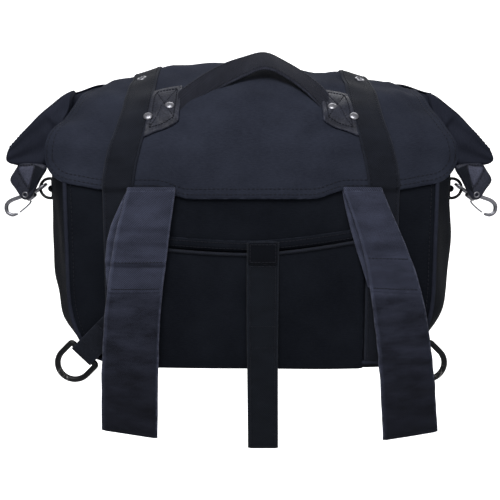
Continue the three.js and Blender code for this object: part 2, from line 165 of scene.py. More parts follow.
class Form:
    """A mesh being gathered: its points, their wear from 0 to 1, and its faces with a UV at each corner."""

    def __init__(self):
        self.points, self.wear, self.faces, self.uvs = [], [], [], []
        self.count = 0

    def add(self, points, wear=0.0):
        """Adds an array of points and returns their numbers in the same arrangement."""
        points = np.asarray(points, float)
        numbers = np.arange(self.count, self.count + points[..., 0].size).reshape(points.shape[:-1])
        self.points.append(points.reshape(-1, 3))
        self.wear.append(np.broadcast_to(wear, points.shape[:-1]).reshape(-1))
        self.count += numbers.size
        return numbers

    def quads(self, ids, uv):
        """Faces of a grid of point numbers, with UVs in the same arrangement."""
        for store, grid in ((self.faces, ids), (self.uvs, uv)):
            corners = (grid[:-1, :-1], grid[:-1, 1:], grid[1:, 1:], grid[1:, :-1])
            store.extend(np.stack(corners, 2).reshape(-1, 4, *grid.shape[2:]).tolist())

    def cap(self, ring, centre):
        """Closes a loop of point numbers with a fan of triangles round a point at centre."""
        pole = self.add(np.asarray(centre)[None])[0]
        following = np.roll(ring, -1)
        self.faces.extend(np.stack([ring, following, np.full_like(ring, pole)], -1).tolist())
        self.uvs.extend([[(0, 0), (MM, 0), (0, MM)]] * len(ring))

    def joined(self, *others):
        """This form with the faces of other forms."""
        for other in others:
            self.faces.extend([[n + self.count for n in face] for face in other.faces])
            self.uvs.extend(other.uvs)
            self.points.extend(other.points)
            self.wear.extend(other.wear)
            self.count += other.count
        return self

    def moved(self, place):
        """This form with every point passed through place, an array function."""
        self.points = [place(np.concatenate(self.points))]
        return self

    def mirrored(self):
        """A copy on the other side of X = 0, its faces turned to keep pointing out."""
        copy = Form()
        copy.points = [np.concatenate(self.points) * (-1, 1, 1)]
        copy.wear, copy.count = list(self.wear), self.count
        copy.faces = [face[::-1] for face in self.faces]
        copy.uvs = [uv[::-1] for uv in self.uvs]
        return copy

    def mesh(self, name):
        mesh = bpy.data.meshes.new(name)
        mesh.from_pydata((np.concatenate(self.points) * MM).tolist(), [], self.faces)
        layer = mesh.uv_layers.new(name="UVMap")
        layer.data.foreach_set("uv", [value for face in self.uvs for corner in face for value in corner])
        wear = mesh.attributes.new("wear", "FLOAT", "POINT")
        wear.data.foreach_set("value", np.concatenate(self.wear).astype(np.float32))
        mesh.polygons.foreach_set("use_smooth", np.ones(len(mesh.polygons), bool))
        mesh.update()
        return mesh


def cloth(surface, columns, rows, thick, wear=None):
    """A closed sheet with a rounded rim. surface(u, v), both 0 to 1, is its middle; half the thickness lies on
    each side along the normal. It wears along its rim, and where wear(u, v) says."""
    u, v = np.meshgrid(np.linspace(0, 1, columns + 1), np.linspace(0, 1, rows + 1))
    middle = surface(u, v)
    out = facing(middle) * thick / 2
    uv = measured(middle)
    worn = wear(u, v) if wear else np.zeros(u.shape)
    rim = np.zeros(u.shape)
    rim[[0, -1]] = rim[:, [0, -1]] = 0.7
    form = Form()
    outer, inner = form.add(middle + out, np.maximum(worn, rim)), form.add(middle - out, rim)
    numbers = np.arange(u.size).reshape(u.shape)
    order = np.concatenate([numbers[0, :-1], numbers[:-1, -1], numbers[-1, :0:-1], numbers[:0:-1, 0]])
    inward = middle.copy()
    inward[0], inward[-1] = middle[1], middle[-2]
    inward[:, 0], inward[:, -1] = middle[:, 1], middle[:, -2]
    away = unit((middle - inward).reshape(-1, 3)[order]) * thick / 2
    edge = form.add(middle.reshape(-1, 3)[order] + away, 1.0)
    form.quads(outer, uv)
    form.quads(inner[:, ::-1], uv[:, ::-1])
    loops = np.stack([inner.reshape(-1)[order], edge, outer.reshape(-1)[order]])
    loop_uv = np.repeat(uv.reshape(-1, 2)[order][None], 3, 0)
    form.quads(ringed(loops), ringed(loop_uv))
    return form


def swept(path, profile, up, closed=False, size=1.0, wear=0.0):
    """A closed profile carried along a path. Its first coordinate lies along up, the second across both."""
    path = np.asarray(path, float)
    ahead = np.roll(path, -1, 0) - np.roll(path, 1, 0) if closed else np.gradient(path, axis=0)
    ahead = unit(ahead)
    up = np.broadcast_to(np.asarray(up, float), path.shape)
    up = unit(up - ahead * (up * ahead).sum(-1, keepdims=True))
    side = np.cross(ahead, up)
    size = np.broadcast_to(np.asarray(size, float), path.shape[:1])[:, None, None]
    profile = np.asarray(profile, float)
    points = path[:, None] + size * (profile[:, :1] * up[:, None] + profile[:, 1:] * side[:, None])
    form = Form()
    ids = form.add(points, wear if np.ndim(wear) < 1 else np.asarray(wear)[:, None])
    u = run_length(np.r_[profile, profile[:1]])
    v = run_length(np.r_[path, path[:1]])
    grid = ringed(ids)
    if closed:
        grid = np.r_[grid, grid[:1]]
    uv = np.stack(np.meshgrid(u, v[: len(grid)]), -1) * MM
    form.quads(grid, uv)
    if not closed:
        form.cap(ids[0][::-1], path[0])
        form.cap(ids[-1], path[-1])
    return form


def disc(radius, sides):
    """The profile of a round wire, its points running the way that keeps a sweep's faces outward."""
    turn = np.linspace(0, TAU, sides, endpoint=False)
    return np.stack([radius * np.cos(turn), radius * np.sin(turn)], -1)


def slab(high, wide, round_by):
    """The profile of a flat bar: high along the sweep's up, wide across it, its corners rounded."""
    turn = np.linspace(0, math.pi / 2, 3)
    corner = np.stack([np.cos(turn), np.sin(turn)], -1) * round_by
    core = np.array([high / 2 - round_by, wide / 2 - round_by])
    signs = (1, 1), (-1, 1), (-1, -1), (1, -1)
    return np.concatenate([((corner + core) * s)[:: s[0] * s[1]] for s in signs])


def turned(profile, sides):
    """A profile of (radius, height) pairs turned about Z. It starts and ends on the axis, or meets itself."""
    profile = np.asarray(profile, float)
    turn = np.linspace(0, TAU, sides, endpoint=False)
    radius, height = profile[:, :1], profile[:, 1:]
    points = xyz(radius * np.cos(turn), radius * np.sin(turn), height + 0 * turn)
    form = Form()
    on_axis = profile[0, 0] == 0
    ids = form.add(points[1:-1] if on_axis else points)
    grid = ringed(ids if on_axis else np.r_[ids, ids[:1]])
    uv = np.stack(np.meshgrid(np.linspace(0, 0.02, sides + 1), np.arange(len(grid)) * MM), -1)
    form.quads(grid, uv)
    if on_axis:
        form.cap(ids[0][::-1], points[0, 0])
        form.cap(ids[-1], points[-1, 0])
    return form


def placed(form, at, across, out):
    """A form made about Z, moved so that Z lies along out and X along across, at a point."""
    out = unit(np.asarray(out, float))
    across = unit(np.asarray(across, float) - out * np.dot(across, out))
    axes = np.stack([across, np.cross(out, across), out])
    return form.moved(lambda points: points @ axes + np.asarray(at, float))


def stitches(path, out, pitch=4.3, lift=0.15, length=3.0, thick=0.42):
    """A row of stitches along a path: each is a short round grain of thread lying in the cloth, its two ends
    dipping in. out gives the cloth's normal at every point of the path, thick is the thread's radius."""
    path, out = np.asarray(path, float), np.broadcast_to(np.asarray(out, float), np.shape(path))
    total = run_length(path)
    count = max(2, int(total[-1] // pitch))
    share = (np.arange(count) + 0.5) / count
    centre = along(path, share)
    step = 0.4 * length / total[-1]
    ahead = unit(along(path, np.clip(share + step, 0, 1)) - along(path, np.clip(share - step, 0, 1)))
    normal = np.stack([np.interp(share * total[-1], total, column) for column in out.T], -1)
    normal = unit(normal - ahead * (normal * ahead).sum(-1, keepdims=True))
    side = np.cross(ahead, normal)
    station = np.array([-0.5, -0.3, 0.3, 0.5]) * length
    girth = np.array([0.45, 1, 1, 0.45]) * thick
    sink = np.array([-0.9, 0, 0, -0.9]) * thick + lift
    turn = np.linspace(0, TAU, 5, endpoint=False)
    rings = (
        centre[:, None, None]
        + station[None, :, None, None] * ahead[:, None, None]
        + (girth[:, None] * np.cos(turn) + sink[:, None])[None, ..., None] * normal[:, None, None]
        + (girth[:, None] * np.sin(turn))[None, ..., None] * side[:, None, None]
    )
    form = Form()
    ids = form.add(rings)
    band = np.concatenate([ids, ids[..., :1]], -1)
    corners = np.stack([band[:, :-1, :-1], band[:, :-1, 1:], band[:, 1:, 1:], band[:, 1:, :-1]], -1).reshape(-1, 4)
    form.faces.extend(corners.tolist() + ids[:, 0, ::-1].tolist() + ids[:, -1].tolist())
    form.uvs.extend([[(0, 0), (MM, 0), (MM, MM), (0, MM)]] * len(corners))
    form.uvs.extend([[(0, 0)] * 5] * (2 * count))
    return form


def together(forms):
    return Form().joined(*forms)


def seams(runs, out, pitch):
    """Rows of stitches along several paths, as one form."""
    return together(stitches(run, out, pitch) for run in runs)


def piece(name, form, finish, body, stands_for=(), across_joint=None):
    """A finished object in the row frame. across_joint is (other body, start, end) in millimetres; when it is
    given, the piece is baked in place rather than attached to body, and its other body, start and end are not used.
    """
    mesh = form.mesh(name)
    mesh.materials.append(finish)
    made = bpy.data.objects.new(name, mesh)
    bpy.context.scene.collection.objects.link(made)
    if across_joint:
        other, start, end = across_joint
        tuple(Vector(start) * MM)
        tuple(Vector(end) * MM)
        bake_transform(made)
    else:
        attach(made, body)
    if stands_for:
        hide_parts(*stands_for)
    return made


def pair(name, form, finish, body, stands_for=(), across_joint=None):
    """The same piece on both sides, made for the right, +X, and mirrored. form is one form, or a function that
    makes the one for a side. Names that end in an underscore get their side."""
    made = {}
    for side, sign in (("right", 1), ("left", -1)):
        sided = [n + side if n.endswith("_") else n for n in stands_for]
        joint = across_joint
        if joint:
            other, start, end = joint
            other = other + side if other.endswith("_") else other
            joint = (other, (start[0] * sign, *start[1:]), (end[0] * sign, *end[1:]))
        rides = body + side if body.endswith("_") else body
        shape = form(sign) if callable(form) else form
        shape = shape if sign > 0 else shape.mirrored()
        made[side] = piece(f"{name}_{side}", shape, finish, rides, sided, joint)
    return made


# Finishes --------------------------------------------------------------------------------------------


class Wire:
    """A socket of a finish. Arithmetic on it adds the Math nodes that the expression needs."""

    def __init__(self, finish, socket):
        self.finish, self.socket = finish, socket

    def math(self, operation, *values):
        return self.finish.node("ShaderNodeMath", {"operation": operation}, dict(enumerate(values)))

    def __add__(self, other):
        return self.math("ADD", self, other)

    def __mul__(self, other):
        return self.math("MULTIPLY", self, other)

    def __sub__(self, other):
        return self.math("SUBTRACT", self, other)

    def __rsub__(self, other):
        return self.math("SUBTRACT", other, self)

    def __truediv__(self, other):
        return self.math("DIVIDE", self, other)

    __radd__, __rmul__ = __add__, __mul__

    def sine(self):
        return self.math("SINE", self)

    def size(self):
        return self.math("ABSOLUTE", self)

    def held(self):
        """Held between 0 and 1."""
        return self.math("MINIMUM", self.math("MAXIMUM", self, 0.0), 1.0)

    def step(self, low, high):
        """0 below low, 1 above high, a smooth step between."""
        settings = {"interpolation_type": "SMOOTHSTEP"}
        return self.finish.node("ShaderNodeMapRange", settings, {"Value": self, "From Min": low, "From Max": high})


class Finish:
    """A material around one Principled shader, whose own sockets hold what is the same all over."""

    def __init__(self, name, **constants):
        self.material = bpy.data.materials.new(name)
        self.material.use_nodes = True
        self.tree = self.material.node_tree
        self.shader = self.tree.nodes["Principled BSDF"]
        for socket, value in constants.items():
            self.shader.inputs[socket.replace("_", " ")].default_value = value

    def node(self, kind, settings=None, sockets=None, output=0):
        """Adds a node: its settings first, then the values or wires of its sockets. Gives one of its outputs."""
        made = self.tree.nodes.new(kind)
        for setting, value in (settings or {}).items():
            setattr(made, setting, value)
        for socket, value in (sockets or {}).items():
            if isinstance(value, Wire):
                self.tree.links.new(value.socket, made.inputs[socket])
            else:
                made.inputs[socket].default_value = value
        return Wire(self, made.outputs[output])

    def place(self, kind="Object"):
        """Object or UV coordinates, in metres."""
        return self.node("ShaderNodeTexCoord", output=kind)

    def uv(self):
        """The UV map's two lengths, in millimetres."""
        parts = self.node("ShaderNodeSeparateXYZ", {}, {0: self.place("UV")}).socket.node
        return (Wire(self, parts.outputs[0]) * 1000, Wire(self, parts.outputs[1]) * 1000)

    def wear(self):
        return self.node("ShaderNodeAttribute", {"attribute_name": "wear"}, output="Fac")

    def stretched(self, place, scale):
        return self.node("ShaderNodeMapping", {}, {"Vector": place, "Scale": scale})

    def noise(self, place, scale, detail=3.0):
        sockets = {"Vector": place, "Scale": scale, "Detail": detail, "Roughness": 0.6}
        return self.node("ShaderNodeTexNoise", {}, sockets)

    def blend(self, share, low, high):
        """A colour between low and high, which are colours or wires."""
        made = self.node("ShaderNodeMix", {"data_type": "RGBA"}, {"Factor": share}).socket.node
        for socket, value in ((made.inputs[6], low), (made.inputs[7], high)):
            if isinstance(value, Wire):
                self.tree.links.new(value.socket, socket)
            else:
                socket.default_value = (*value, 1) if len(value) == 3 else value
        return Wire(self, made.outputs[2])

    def wears(self, colour=None, roughness=None, height=None, relief=0.3, strength=0.6, metallic=None):
        """Feeds the shader what changes over the surface. relief is how high height stands, in millimetres."""
        for socket, wire in (("Base Color", colour), ("Roughness", roughness), ("Metallic", metallic)):
            if wire is not None:
                self.tree.links.new(wire.socket, self.shader.inputs[socket])
        if height is not None:
            sockets = {"Height": height, "Strength": strength, "Distance": relief * MM}
            bumped = self.node("ShaderNodeBump", {}, sockets)
            self.tree.links.new(bumped.socket, self.shader.inputs["Normal"])
        return self.material


def rgb(red, green, blue):
    """A display colour, 0 to 255, as linear light."""
    values = np.array([red, green, blue]) / 255
    return tuple(np.where(values > 0.04045, ((values + 0.055) / 1.055) ** 2.4, values / 12.92).tolist())


def canvas(name, dark, light, faded):
    """Plain-woven cloth: threads crossing over and under, slubs along the weft, soft mottling, rubbed edges."""
    f = Finish(name, Specular_IOR_Level=0.02)
    u, v = f.uv()
    warp, weft = (u * (TAU / 1.3)).sine(), (v * (TAU / 1.3)).sine()
    weave = warp * weft * 0.5 + 0.5
    slub = f.noise(f.stretched(f.place("UV"), (220, 900, 1)), 1.0, 2.0)
    mottle = f.noise(f.place(), 16, 3.0)
    grain = f.noise(f.place("UV"), 1500, 1.0)
    rubbed = (f.wear() * (f.noise(f.place(), 170, 2.0) * 1.3)).step(0.35, 0.8)
    tone = (weave * 0.35 + slub * 0.5 + mottle * 0.85 + grain * 0.35 - 0.55).held()
    colour = f.blend(rubbed * 0.55, f.blend(tone, dark, light), faded)
    return f.wears(colour, 0.95 - slub * 0.2, weave * 0.6 + slub * 0.9 + grain * 0.3, 0.32, 0.55)


def ribbed(name, dark, light, pitch, faded, width=None, band=9.0, relief=0.3, lower_layer_and_shade=None):
    """Narrow woven tape: slanting ribs that turn back from band to band, a groove between ribs, fuzz and soft
    patches, and where width is given, paler selvedges. The last argument, where given, is (height below which it is
    darker and smoother, how much of its brightness is left at the bottom): below that height the tape is its own
    darker, smoother lower layer, and painted shade darkens it further towards its foot."""
    f = Finish(name, Sheen_Weight=0.04, Sheen_Roughness=0.45, Specular_IOR_Level=0.12)
    u, v = f.uv()
    slanted = (u / band).math("PINGPONG", u / band, 1.0) * band
    rib = ((slanted + v) * (TAU / pitch)).sine() * 0.5 + 0.5
    fine = ((u * 1.3 + v * 0.4) * (TAU / 1.1)).sine() * 0.5 + 0.5
    fuzz = f.noise(f.place("UV"), 900, 3.0)
    patchy = f.noise(f.stretched(f.place("UV"), (25, 60, 1)), 1.0, 3.0)
    rubbed = (f.wear() * (f.noise(f.place(), 210, 2.0) * 1.4)).step(0.3, 0.85)
    shown = 1.0
    if lower_layer_and_shade:
        z = Wire(f, f.node("ShaderNodeSeparateXYZ", {}, {0: f.place()}).socket.node.outputs[2]) * 1000
        shown = z.step(lower_layer_and_shade[0] - 9, lower_layer_and_shade[0] + 2)
    tone = rib * (shown * 0.55 + 0.12) + fuzz * 0.6 + patchy * 0.85 + fine * 0.08 - 0.6
    height = rib * (shown * 0.7 + 0.15) + fine * 0.2 + fuzz * 0.5
    if width:
        edge = ((u - width / 2).size() / (width / 2)).step(0.87, 0.94)
        height = height * (1 - edge * 0.6)
        tone = tone + edge * 0.22
    if lower_layer_and_shade:
        # Painted shade: from just below the lower layer's top down to the foot, the tone darkens to the share of
        # its brightness given second.
        low = z.step(lower_layer_and_shade[0] - 150, lower_layer_and_shade[0] - 10) * (1 - lower_layer_and_shade[1]) + lower_layer_and_shade[1]
        colour = f.blend(tone.held() * low, tuple(c * lower_layer_and_shade[1] * 1.2 for c in dark), light)
    else:
        colour = f.blend(tone.held(), dark, light)
    return f.wears(f.blend(rubbed * 0.5, colour, faded), 0.97 - rib * 0.12, height, relief, 0.6)


def hide(name, dark, light, faded):
    """Grained leather: pebbles with creases between them, a cloudy tone, satin on top and pale rubbed edges."""
    f = Finish(name, Specular_IOR_Level=0.3, Coat_Weight=0.04, Coat_Roughness=0.4)
    pebble = f.node("ShaderNodeTexVoronoi", {"feature": "F1"}, {"Vector": f.place(), "Scale": 620.0})
    pores = f.noise(f.place(), 1100, 2.0)
    cloud = f.noise(f.place(), 45, 3.0)
    rubbed = (f.wear() * (f.noise(f.place(), 260, 2.0) * 1.5)).step(0.4, 0.9)
    tone = (cloud * 0.9 + pores * 0.4 - pebble * 0.5 - 0.1).held()
    colour = f.blend(rubbed * 0.6, f.blend(tone, dark, light), faded)
    return f.wears(colour, 0.5 + pebble * 0.25 - rubbed * 0.1, 1 - pebble * 0.9 + pores * 0.3, 0.25, 0.5)


def plated(name, bright, dull):
    """Nickel plate: fine scratches, a cloudy dulling and darker specks where it has tarnished."""
    f = Finish(name, Metallic=1.0)
    scratch = f.noise(f.stretched(f.place(), (3000, 400, 900)), 1.0, 2.0)
    cloud = f.noise(f.place(), 150, 3.0)
    tarnish = f.noise(f.place(), 420, 4.0).step(0.52, 0.72)
    colour = f.blend((cloud * 0.5 + tarnish * 0.6).held(), bright, dull)
    return f.wears(colour, 0.3 + scratch * 0.15 + tarnish * 0.15, scratch, 0.03, 0.3)


def coated(name, dark, bare):
    """Black coated steel: a slightly uneven gloss coat, rubbed to bare metal in a few specks on worn edges."""
    f = Finish(name, Specular_IOR_Level=0.25, Coat_Weight=0.05, Coat_Roughness=0.25)
    peel = f.noise(f.place(), 500, 2.0)
    chip = (f.wear() * f.noise(f.place(), 330, 4.0)).step(0.52, 0.66)
    return f.wears(f.blend(chip, dark, bare), 0.38 + peel * 0.15 - chip * 0.1, peel, 0.08, 0.3, chip * 0.8)


def threaded(name, dark, light):
    """Sewing thread, twisted, with a slight gloss."""
    f = Finish(name, Specular_IOR_Level=0.2)
    twist = f.noise(f.place(), 1500, 2.0)
    return f.wears(f.blend(twist, dark, light), 0.6 + twist * 0.2, twist, 0.15, 0.5)


def pressed(name, dark, light):
    """Fibreboard: short pale fibres pressed into a dark sheet."""
    f = Finish(name, Specular_IOR_Level=0.3)
    fibre = f.noise(f.stretched(f.place(), (300, 300, 1800)), 1.0, 4.0)
    speck = f.noise(f.place(), 900, 2.0)
    tone = (fibre * 0.8 + speck * 0.4 - 0.2).held()
    return f.wears(f.blend(tone, dark, light), 0.6 + fibre * 0.2, fibre, 0.2, 0.4)


LID_CANVAS = canvas("lid_canvas", rgb(24, 26, 34), rgb(56, 60, 73), rgb(78, 82, 98))
# The body's cloth is the lid's canvas. Its darker colours are painted shade for the body and pocket lying under the
# lid and straps.
SHADED_BODY_CANVAS = canvas("body_canvas_painted_shade", rgb(10, 12, 17), rgb(31, 34, 41), rgb(52, 55, 66))
EAR_CANVAS = canvas("ear_canvas", rgb(22, 24, 31), rgb(53, 56, 69), rgb(84, 88, 106))
WEBBING = ribbed("black_webbing", rgb(11, 13, 18), rgb(35, 38, 47), 1.8, rgb(48, 51, 63), WEBBING_WIDTH)
# The rack straps' tape: darker and smoother below its second layer's end, partly the lower layer's own colour and
# partly painted shade from the light above, deepening to its foot.
RACK_TAPE = ribbed("rack_strap_tape", rgb(22, 24, 33), rgb(72, 76, 95), 1.8, rgb(104, 108, 129), 54, 60, 0.6,
                   (STRAP_STEP, 0.38))
NARROW_TAPE = ribbed("centre_strap_tape", rgb(7, 9, 13), rgb(28, 32, 40), 1.9, rgb(44, 48, 58), 30, 40)
LOOP_PILE = ribbed("loop_pile", rgb(2, 3, 6), rgb(15, 19, 28), 1.3, rgb(26, 30, 40), relief=0.7)
HANDLE_BAND = ribbed("handle_band", rgb(16, 17, 23), rgb(42, 44, 54), 2.0, rgb(62, 65, 78), 38)
LEATHER = hide("navy_leather", rgb(18, 20, 29), rgb(47, 50, 66), rgb(64, 67, 84))
TAB_LEATHER = hide("tab_leather", rgb(28, 30, 41), rgb(60, 63, 80), rgb(14, 15, 20))
TAB_INSET = hide("inset_leather", rgb(52, 54, 68), rgb(92, 95, 116), rgb(30, 31, 40))
NICKEL = plated("nickel", (0.36, 0.36, 0.39), (0.09, 0.09, 0.11))
BLACK_METAL = coated("black_coated_steel", (0.003, 0.0035, 0.0045), (0.25, 0.24, 0.23))
THREAD = threaded("navy_thread", rgb(10, 11, 15), rgb(34, 36, 46))
BOARD = pressed("fibreboard", rgb(20, 21, 24), rgb(70, 68, 62))


# Body ------------------------------------------------------------------------------------------------


def cornerness(z):
    """0 above the rounded lower corners, 1 at the base."""
    return np.clip((-60 - z) / (-60 - BASE_Z), 0, 1)


def back_half(z):
    return BACK_HALF - (BACK_HALF - BASE_HALF) * cornerness(z) ** 3


def side_x(y, z):
    """Outer face of a gusset: a sine bulge from seam to seam, flatter near the base."""
    return back_half(z) + (36 - 18 * cornerness(z) ** 2) * np.sin(math.pi * y / DEPTH)


def front_y(x, z):
    """Outer face of the front: puffed most in the middle, by a cosine across and a sine up."""
    across = np.cos(np.clip(math.pi * x / (2 * back_half(z)), -math.pi / 2, math.pi / 2))
    return DEPTH + 12 * across * np.sin(math.pi * np.clip((z - BASE_Z) / (BODY_TOP_Z - BASE_Z), 0, 1))


def base_sag(x, z):
    """How far the foot of the bag hangs below its plain shape: most in the middle, and only near the base."""
    return (5.5 - 2.5 * (x / BASE_HALF) ** 2 + 1.3 * ease(x, 0, 90)) * ease(-z, 112, 146)


def body_side(turn, z):
    """The body's outline at height z. turn runs 0 to 4: back, right gusset, front, left gusset. Each side
    sags by soft waves that die out at its seams; the gussets also have long upright folds."""
    side = np.floor(np.clip(turn, 0, 3.9999))
    share = turn - side
    seamed = np.sin(math.pi * share) ** 0.6
    half = back_half(z)
    depth = DEPTH * share
    sag = crumple(turn * 190, z, 120, 4)
    calm = 1 - bump(depth, 103, 30) * bump(z, 28, 34)
    fold = 3.2 * np.sin((depth - 60) / 19 + z / 45) * ease(z, -150, -60) + 3.0 * sag
    gusset = side_x(depth, z) + seamed * calm * fold
    back = xyz(half * (2 * share - 1), 1.3 * seamed * (0.6 + 0.4 * sag), z)
    lean = 8 * bump(z, -100, 27) - 2.5 * bump(z, 30, 40)
    right = xyz(gusset + seamed * lean, depth, z)
    front = xyz(half * (1 - 2 * share), front_y(half * (1 - 2 * share), z) - seamed * (2.2 + 2 * sag), z)
    tuck = 4.5 * bump(z, -116, 14) - 3.5 * bump(z, -84, 16) + 1.5 * bump(z, 0, 50)
    left = xyz(-(side_x(DEPTH - depth, z) + seamed * (calm * fold + tuck)), DEPTH - depth, z)
    return np.select([side[..., None] == n for n in range(4)], [back, right, front, left])


FLOOR_ROWS, BEND_ROWS, WALL_ROWS = 12, 6, 42  # rows of the body's grid: base, its rounded edge, walls
BEND = 9  # radius of that edge


def body_shell(inset):
    """The body as a lofted bag. Its rows start at a pole under the base, spread out over the base, turn up
    round a soft edge and climb the walls. inset moves the whole shell inwards, for its inner face."""
    bend = np.linspace(0, math.pi / 2, BEND_ROWS)
    shrink = np.concatenate([np.linspace(100, 12, FLOOR_ROWS), BEND * np.cos(bend), np.zeros(WALL_ROWS)])
    foot = BASE_Z + np.concatenate([np.zeros(FLOOR_ROWS), BEND * (1 - np.cos(bend))])
    height = np.concatenate([foot, np.linspace(BASE_Z + 12, BODY_TOP_Z + 3, WALL_ROWS)])
    even = np.linspace(0, 1, 33)[:-1]
    gathered = lerp(even, 0.5 - 0.5 * np.cos(math.pi * even), 0.6)
    turn, z = np.meshgrid((gathered[None] + np.arange(4)[:, None]).reshape(-1), height)
    points = body_side(turn, z)
    keep = (1 - shrink[:, None] / 100)[..., None]
    centre = np.array([0, DEPTH / 2])
    points[..., :2] = centre + (points[..., :2] - centre) * keep
    points[..., 2] -= base_sag(points[..., 0], points[..., 2])
    return points - facing(points, ring=True) * inset


def build_body():
    outer, inner = body_shell(0), body_shell(2.4)
    form = Form()
    wear = 0.5 * bump(np.arange(len(outer))[:, None], FLOOR_ROWS + BEND_ROWS / 2, 3) + 0 * outer[..., 0]
    out_ids, in_ids = form.add(outer, wear), form.add(inner)
    uv = measured(ringed(outer))
    uv[: FLOOR_ROWS + BEND_ROWS] = ringed(outer[: FLOOR_ROWS + BEND_ROWS])[..., :2] * MM
    rim = form.add((outer[-1] + inner[-1]) / 2 + (0, 0, 1.2), 0.6)
    form.quads(ringed(out_ids), uv)
    form.quads(ringed(in_ids)[:, ::-1], uv[:, ::-1])
    form.quads(ringed(np.stack([out_ids[-1], rim, in_ids[-1]])), np.stack([uv[-1]] * 3))
    nodes = ("back_panel", "front_panel", "gusset_right", "gusset_left", "base_panel")
    shell = piece("body_shell", form, SHADED_BODY_CANVAS, "bag", nodes)


def seam_path(y):
    """Down a panel's left edge, round its lower corners, along its foot and up its right edge."""
    z = np.linspace(BODY_TOP_Z, BASE_Z + 8, 90)
    foot = np.linspace(-1, 1, 60)[1:-1] * back_half(z[-1])
    half = np.concatenate([-back_half(z), foot, back_half(z[::-1])])
    height = np.concatenate([z, np.full(len(foot), z[-1]), z[::-1]])
    path = xyz(half, y + 0.4 * crumple(half, height, 60, 9), height - base_sag(half, height))
    return softened(along(path, np.linspace(0, 1, 260)), 5)


def build_piping():
    """Corded seams round the back and the front: a thin cord whose size beats slightly, and its stitches."""
    for name, y, out in (("back_piping", -0.2, -1), ("front_piping", DEPTH + 0.4, 1)):
        path = seam_path(y)
        size = 1 + 0.05 * np.sin(run_length(path) / 2.1)
        form = swept(path, disc(2.1, 10), (0, -out, 0), size=size, wear=0.45)
        piece(name, form, EAR_CANVAS, "bag")
        stitch_line = path + unit((0, 0, -30) - path * (1, 0, 1)) * 6.0
        stitch_line[:, 1] = y + out * 0.2 if out < 0 else front_y(stitch_line[:, 0], stitch_line[:, 2]) - 2.4
        piece(name + "_stitches", stitches(stitch_line, (0, out, 0)), THREAD, "bag")


# Lid and yoke ----------------------------------------------------------------------------------------

REAR = ((-1, RIM_Z + 2), (9, 120), (RIDGE_Y, RIDGE_Z))
FRONT = ((RIDGE_Y, RIDGE_Z), (208, 142), (DEPTH + 13, 66))
FLAP = ((DEPTH + 13, 66), (DEPTH + 14, FLAP_Z))
BACK_STEPS, CURVE_STEPS = 240, 40  # points of the lid's line up the back, and in each of its three curves
STEPS = np.linspace(0, 1, CURVE_STEPS, endpoint=False)
LID_LINE = softened(np.concatenate([
    np.stack([np.full(BACK_STEPS, -1.0), np.linspace(BASE_Z - 20, RIM_Z + 1, BACK_STEPS)], -1),
    bezier(REAR, STEPS), bezier(FRONT, STEPS), np.linspace(*FLAP, CURVE_STEPS),
]), 3)
LID_AT = run_length(LID_LINE) + BASE_Z - 20  # lengths up the back, over the ridge and down; 0 at Z = 0
FLAP_END = float(LID_AT[-1])
RIDGE_AT = float(LID_AT[BACK_STEPS + CURVE_STEPS])
HINGE = ("lid", (0, -1, 58), (0, 14.1, 77.4))
HEM_CORNER = 27
EDGE_ROWS = (3.5, 9.0)  # how far the two rows of stitches lie inside the lid's edge


def row_at(row):
    """The length along the lid's line at one of the frame's rows: 0 at the rim, 8 at the ridge, 17 at the hem."""
    rows, steps = np.cumsum([0, REAR_ROWS, FRONT_ROWS, FLAP_ROWS]), BACK_STEPS + CURVE_STEPS * np.arange(4)
    return float(np.interp(np.interp(row, rows, steps), np.arange(len(LID_AT)), LID_AT))


def shoulder_drop(side, edge):
    """How much lower the lid and the roll lie at a distance from the middle, where they are at their highest."""
    return 14 * ease(side, 84, 140) + 11 * ease(side, 165, edge)


def climbed(z):
    """0 at the rim, 1 at the ridge."""
    return np.clip((z - RIM_Z) / (RIDGE_Z - RIM_Z), 0, 1)


def lid_base(x, s):
    """The lid's inner face without its unevenness: its line at length s, with lower shoulders towards the
    sides, edges that curl back past the seams, and sides that draw in as they climb to the ridge."""
    y, z = np.interp(s, LID_AT, LID_LINE[:, 0]), np.interp(s, LID_AT, LID_LINE[:, 1])
    side = np.abs(x)
    z = z - shoulder_drop(side, LID_HALF) * climbed(z)
    curl = 8 * np.clip((side - 186) / 19, 0, 2) ** 2 * np.clip(1 - (s - 60) / 150, 0, 1)
    behind = ease(-s, -RIDGE_AT - 70, -RIDGE_AT)
    waist = 21 * ease(z, 62, 135) * ease(side, 120, 200) * behind
    return xyz(x - np.sign(x) * waist, y + curl, z)


def lid_relief(x, s):
    """How far the lid stands out from its plain shape: soft waves, a hollow along each webbing, folds that pull
    down and inwards from the handle's ends, and a slight flutter near its side edges."""
    over = ease(s, 52, 95)
    side = np.abs(x)
    waves = 2.3 * crumple(x, s * 0.8, 95, 21) + 1.0 * crumple(x, s, 46, 22)
    tied = -2.0 * bump(side, 122, 20) + 1.2 * ease(100 - side, 0, 60)
    pull = 2.4 * bump(s - 116 + 0.55 * (92 - side), 0, 9) * ease(side, 24, 60) * (1 - ease(side, 88, 100))
    dent = -2.0 * bump(s - 100 + 0.55 * (92 - side), 0, 10) * ease(side, 30, 62) * (1 - ease(side, 88, 102))
    flutter = 1.8 * np.sin(s / 17 + x / 60) * ease(side, 165, 205)
    foot = 0.8 * crumple(x, s, 60, 25) * ease(s, 30, 50) * (1 - over)
    slack = -10.0 * bump(x, 72, 30) * bump(s, RIDGE_AT, 50) - 3.0 * ease(side, 120, 165) * bump(s, RIDGE_AT, 45)
    return over * (waves + tied + pull + dent + flutter + slack) + foot


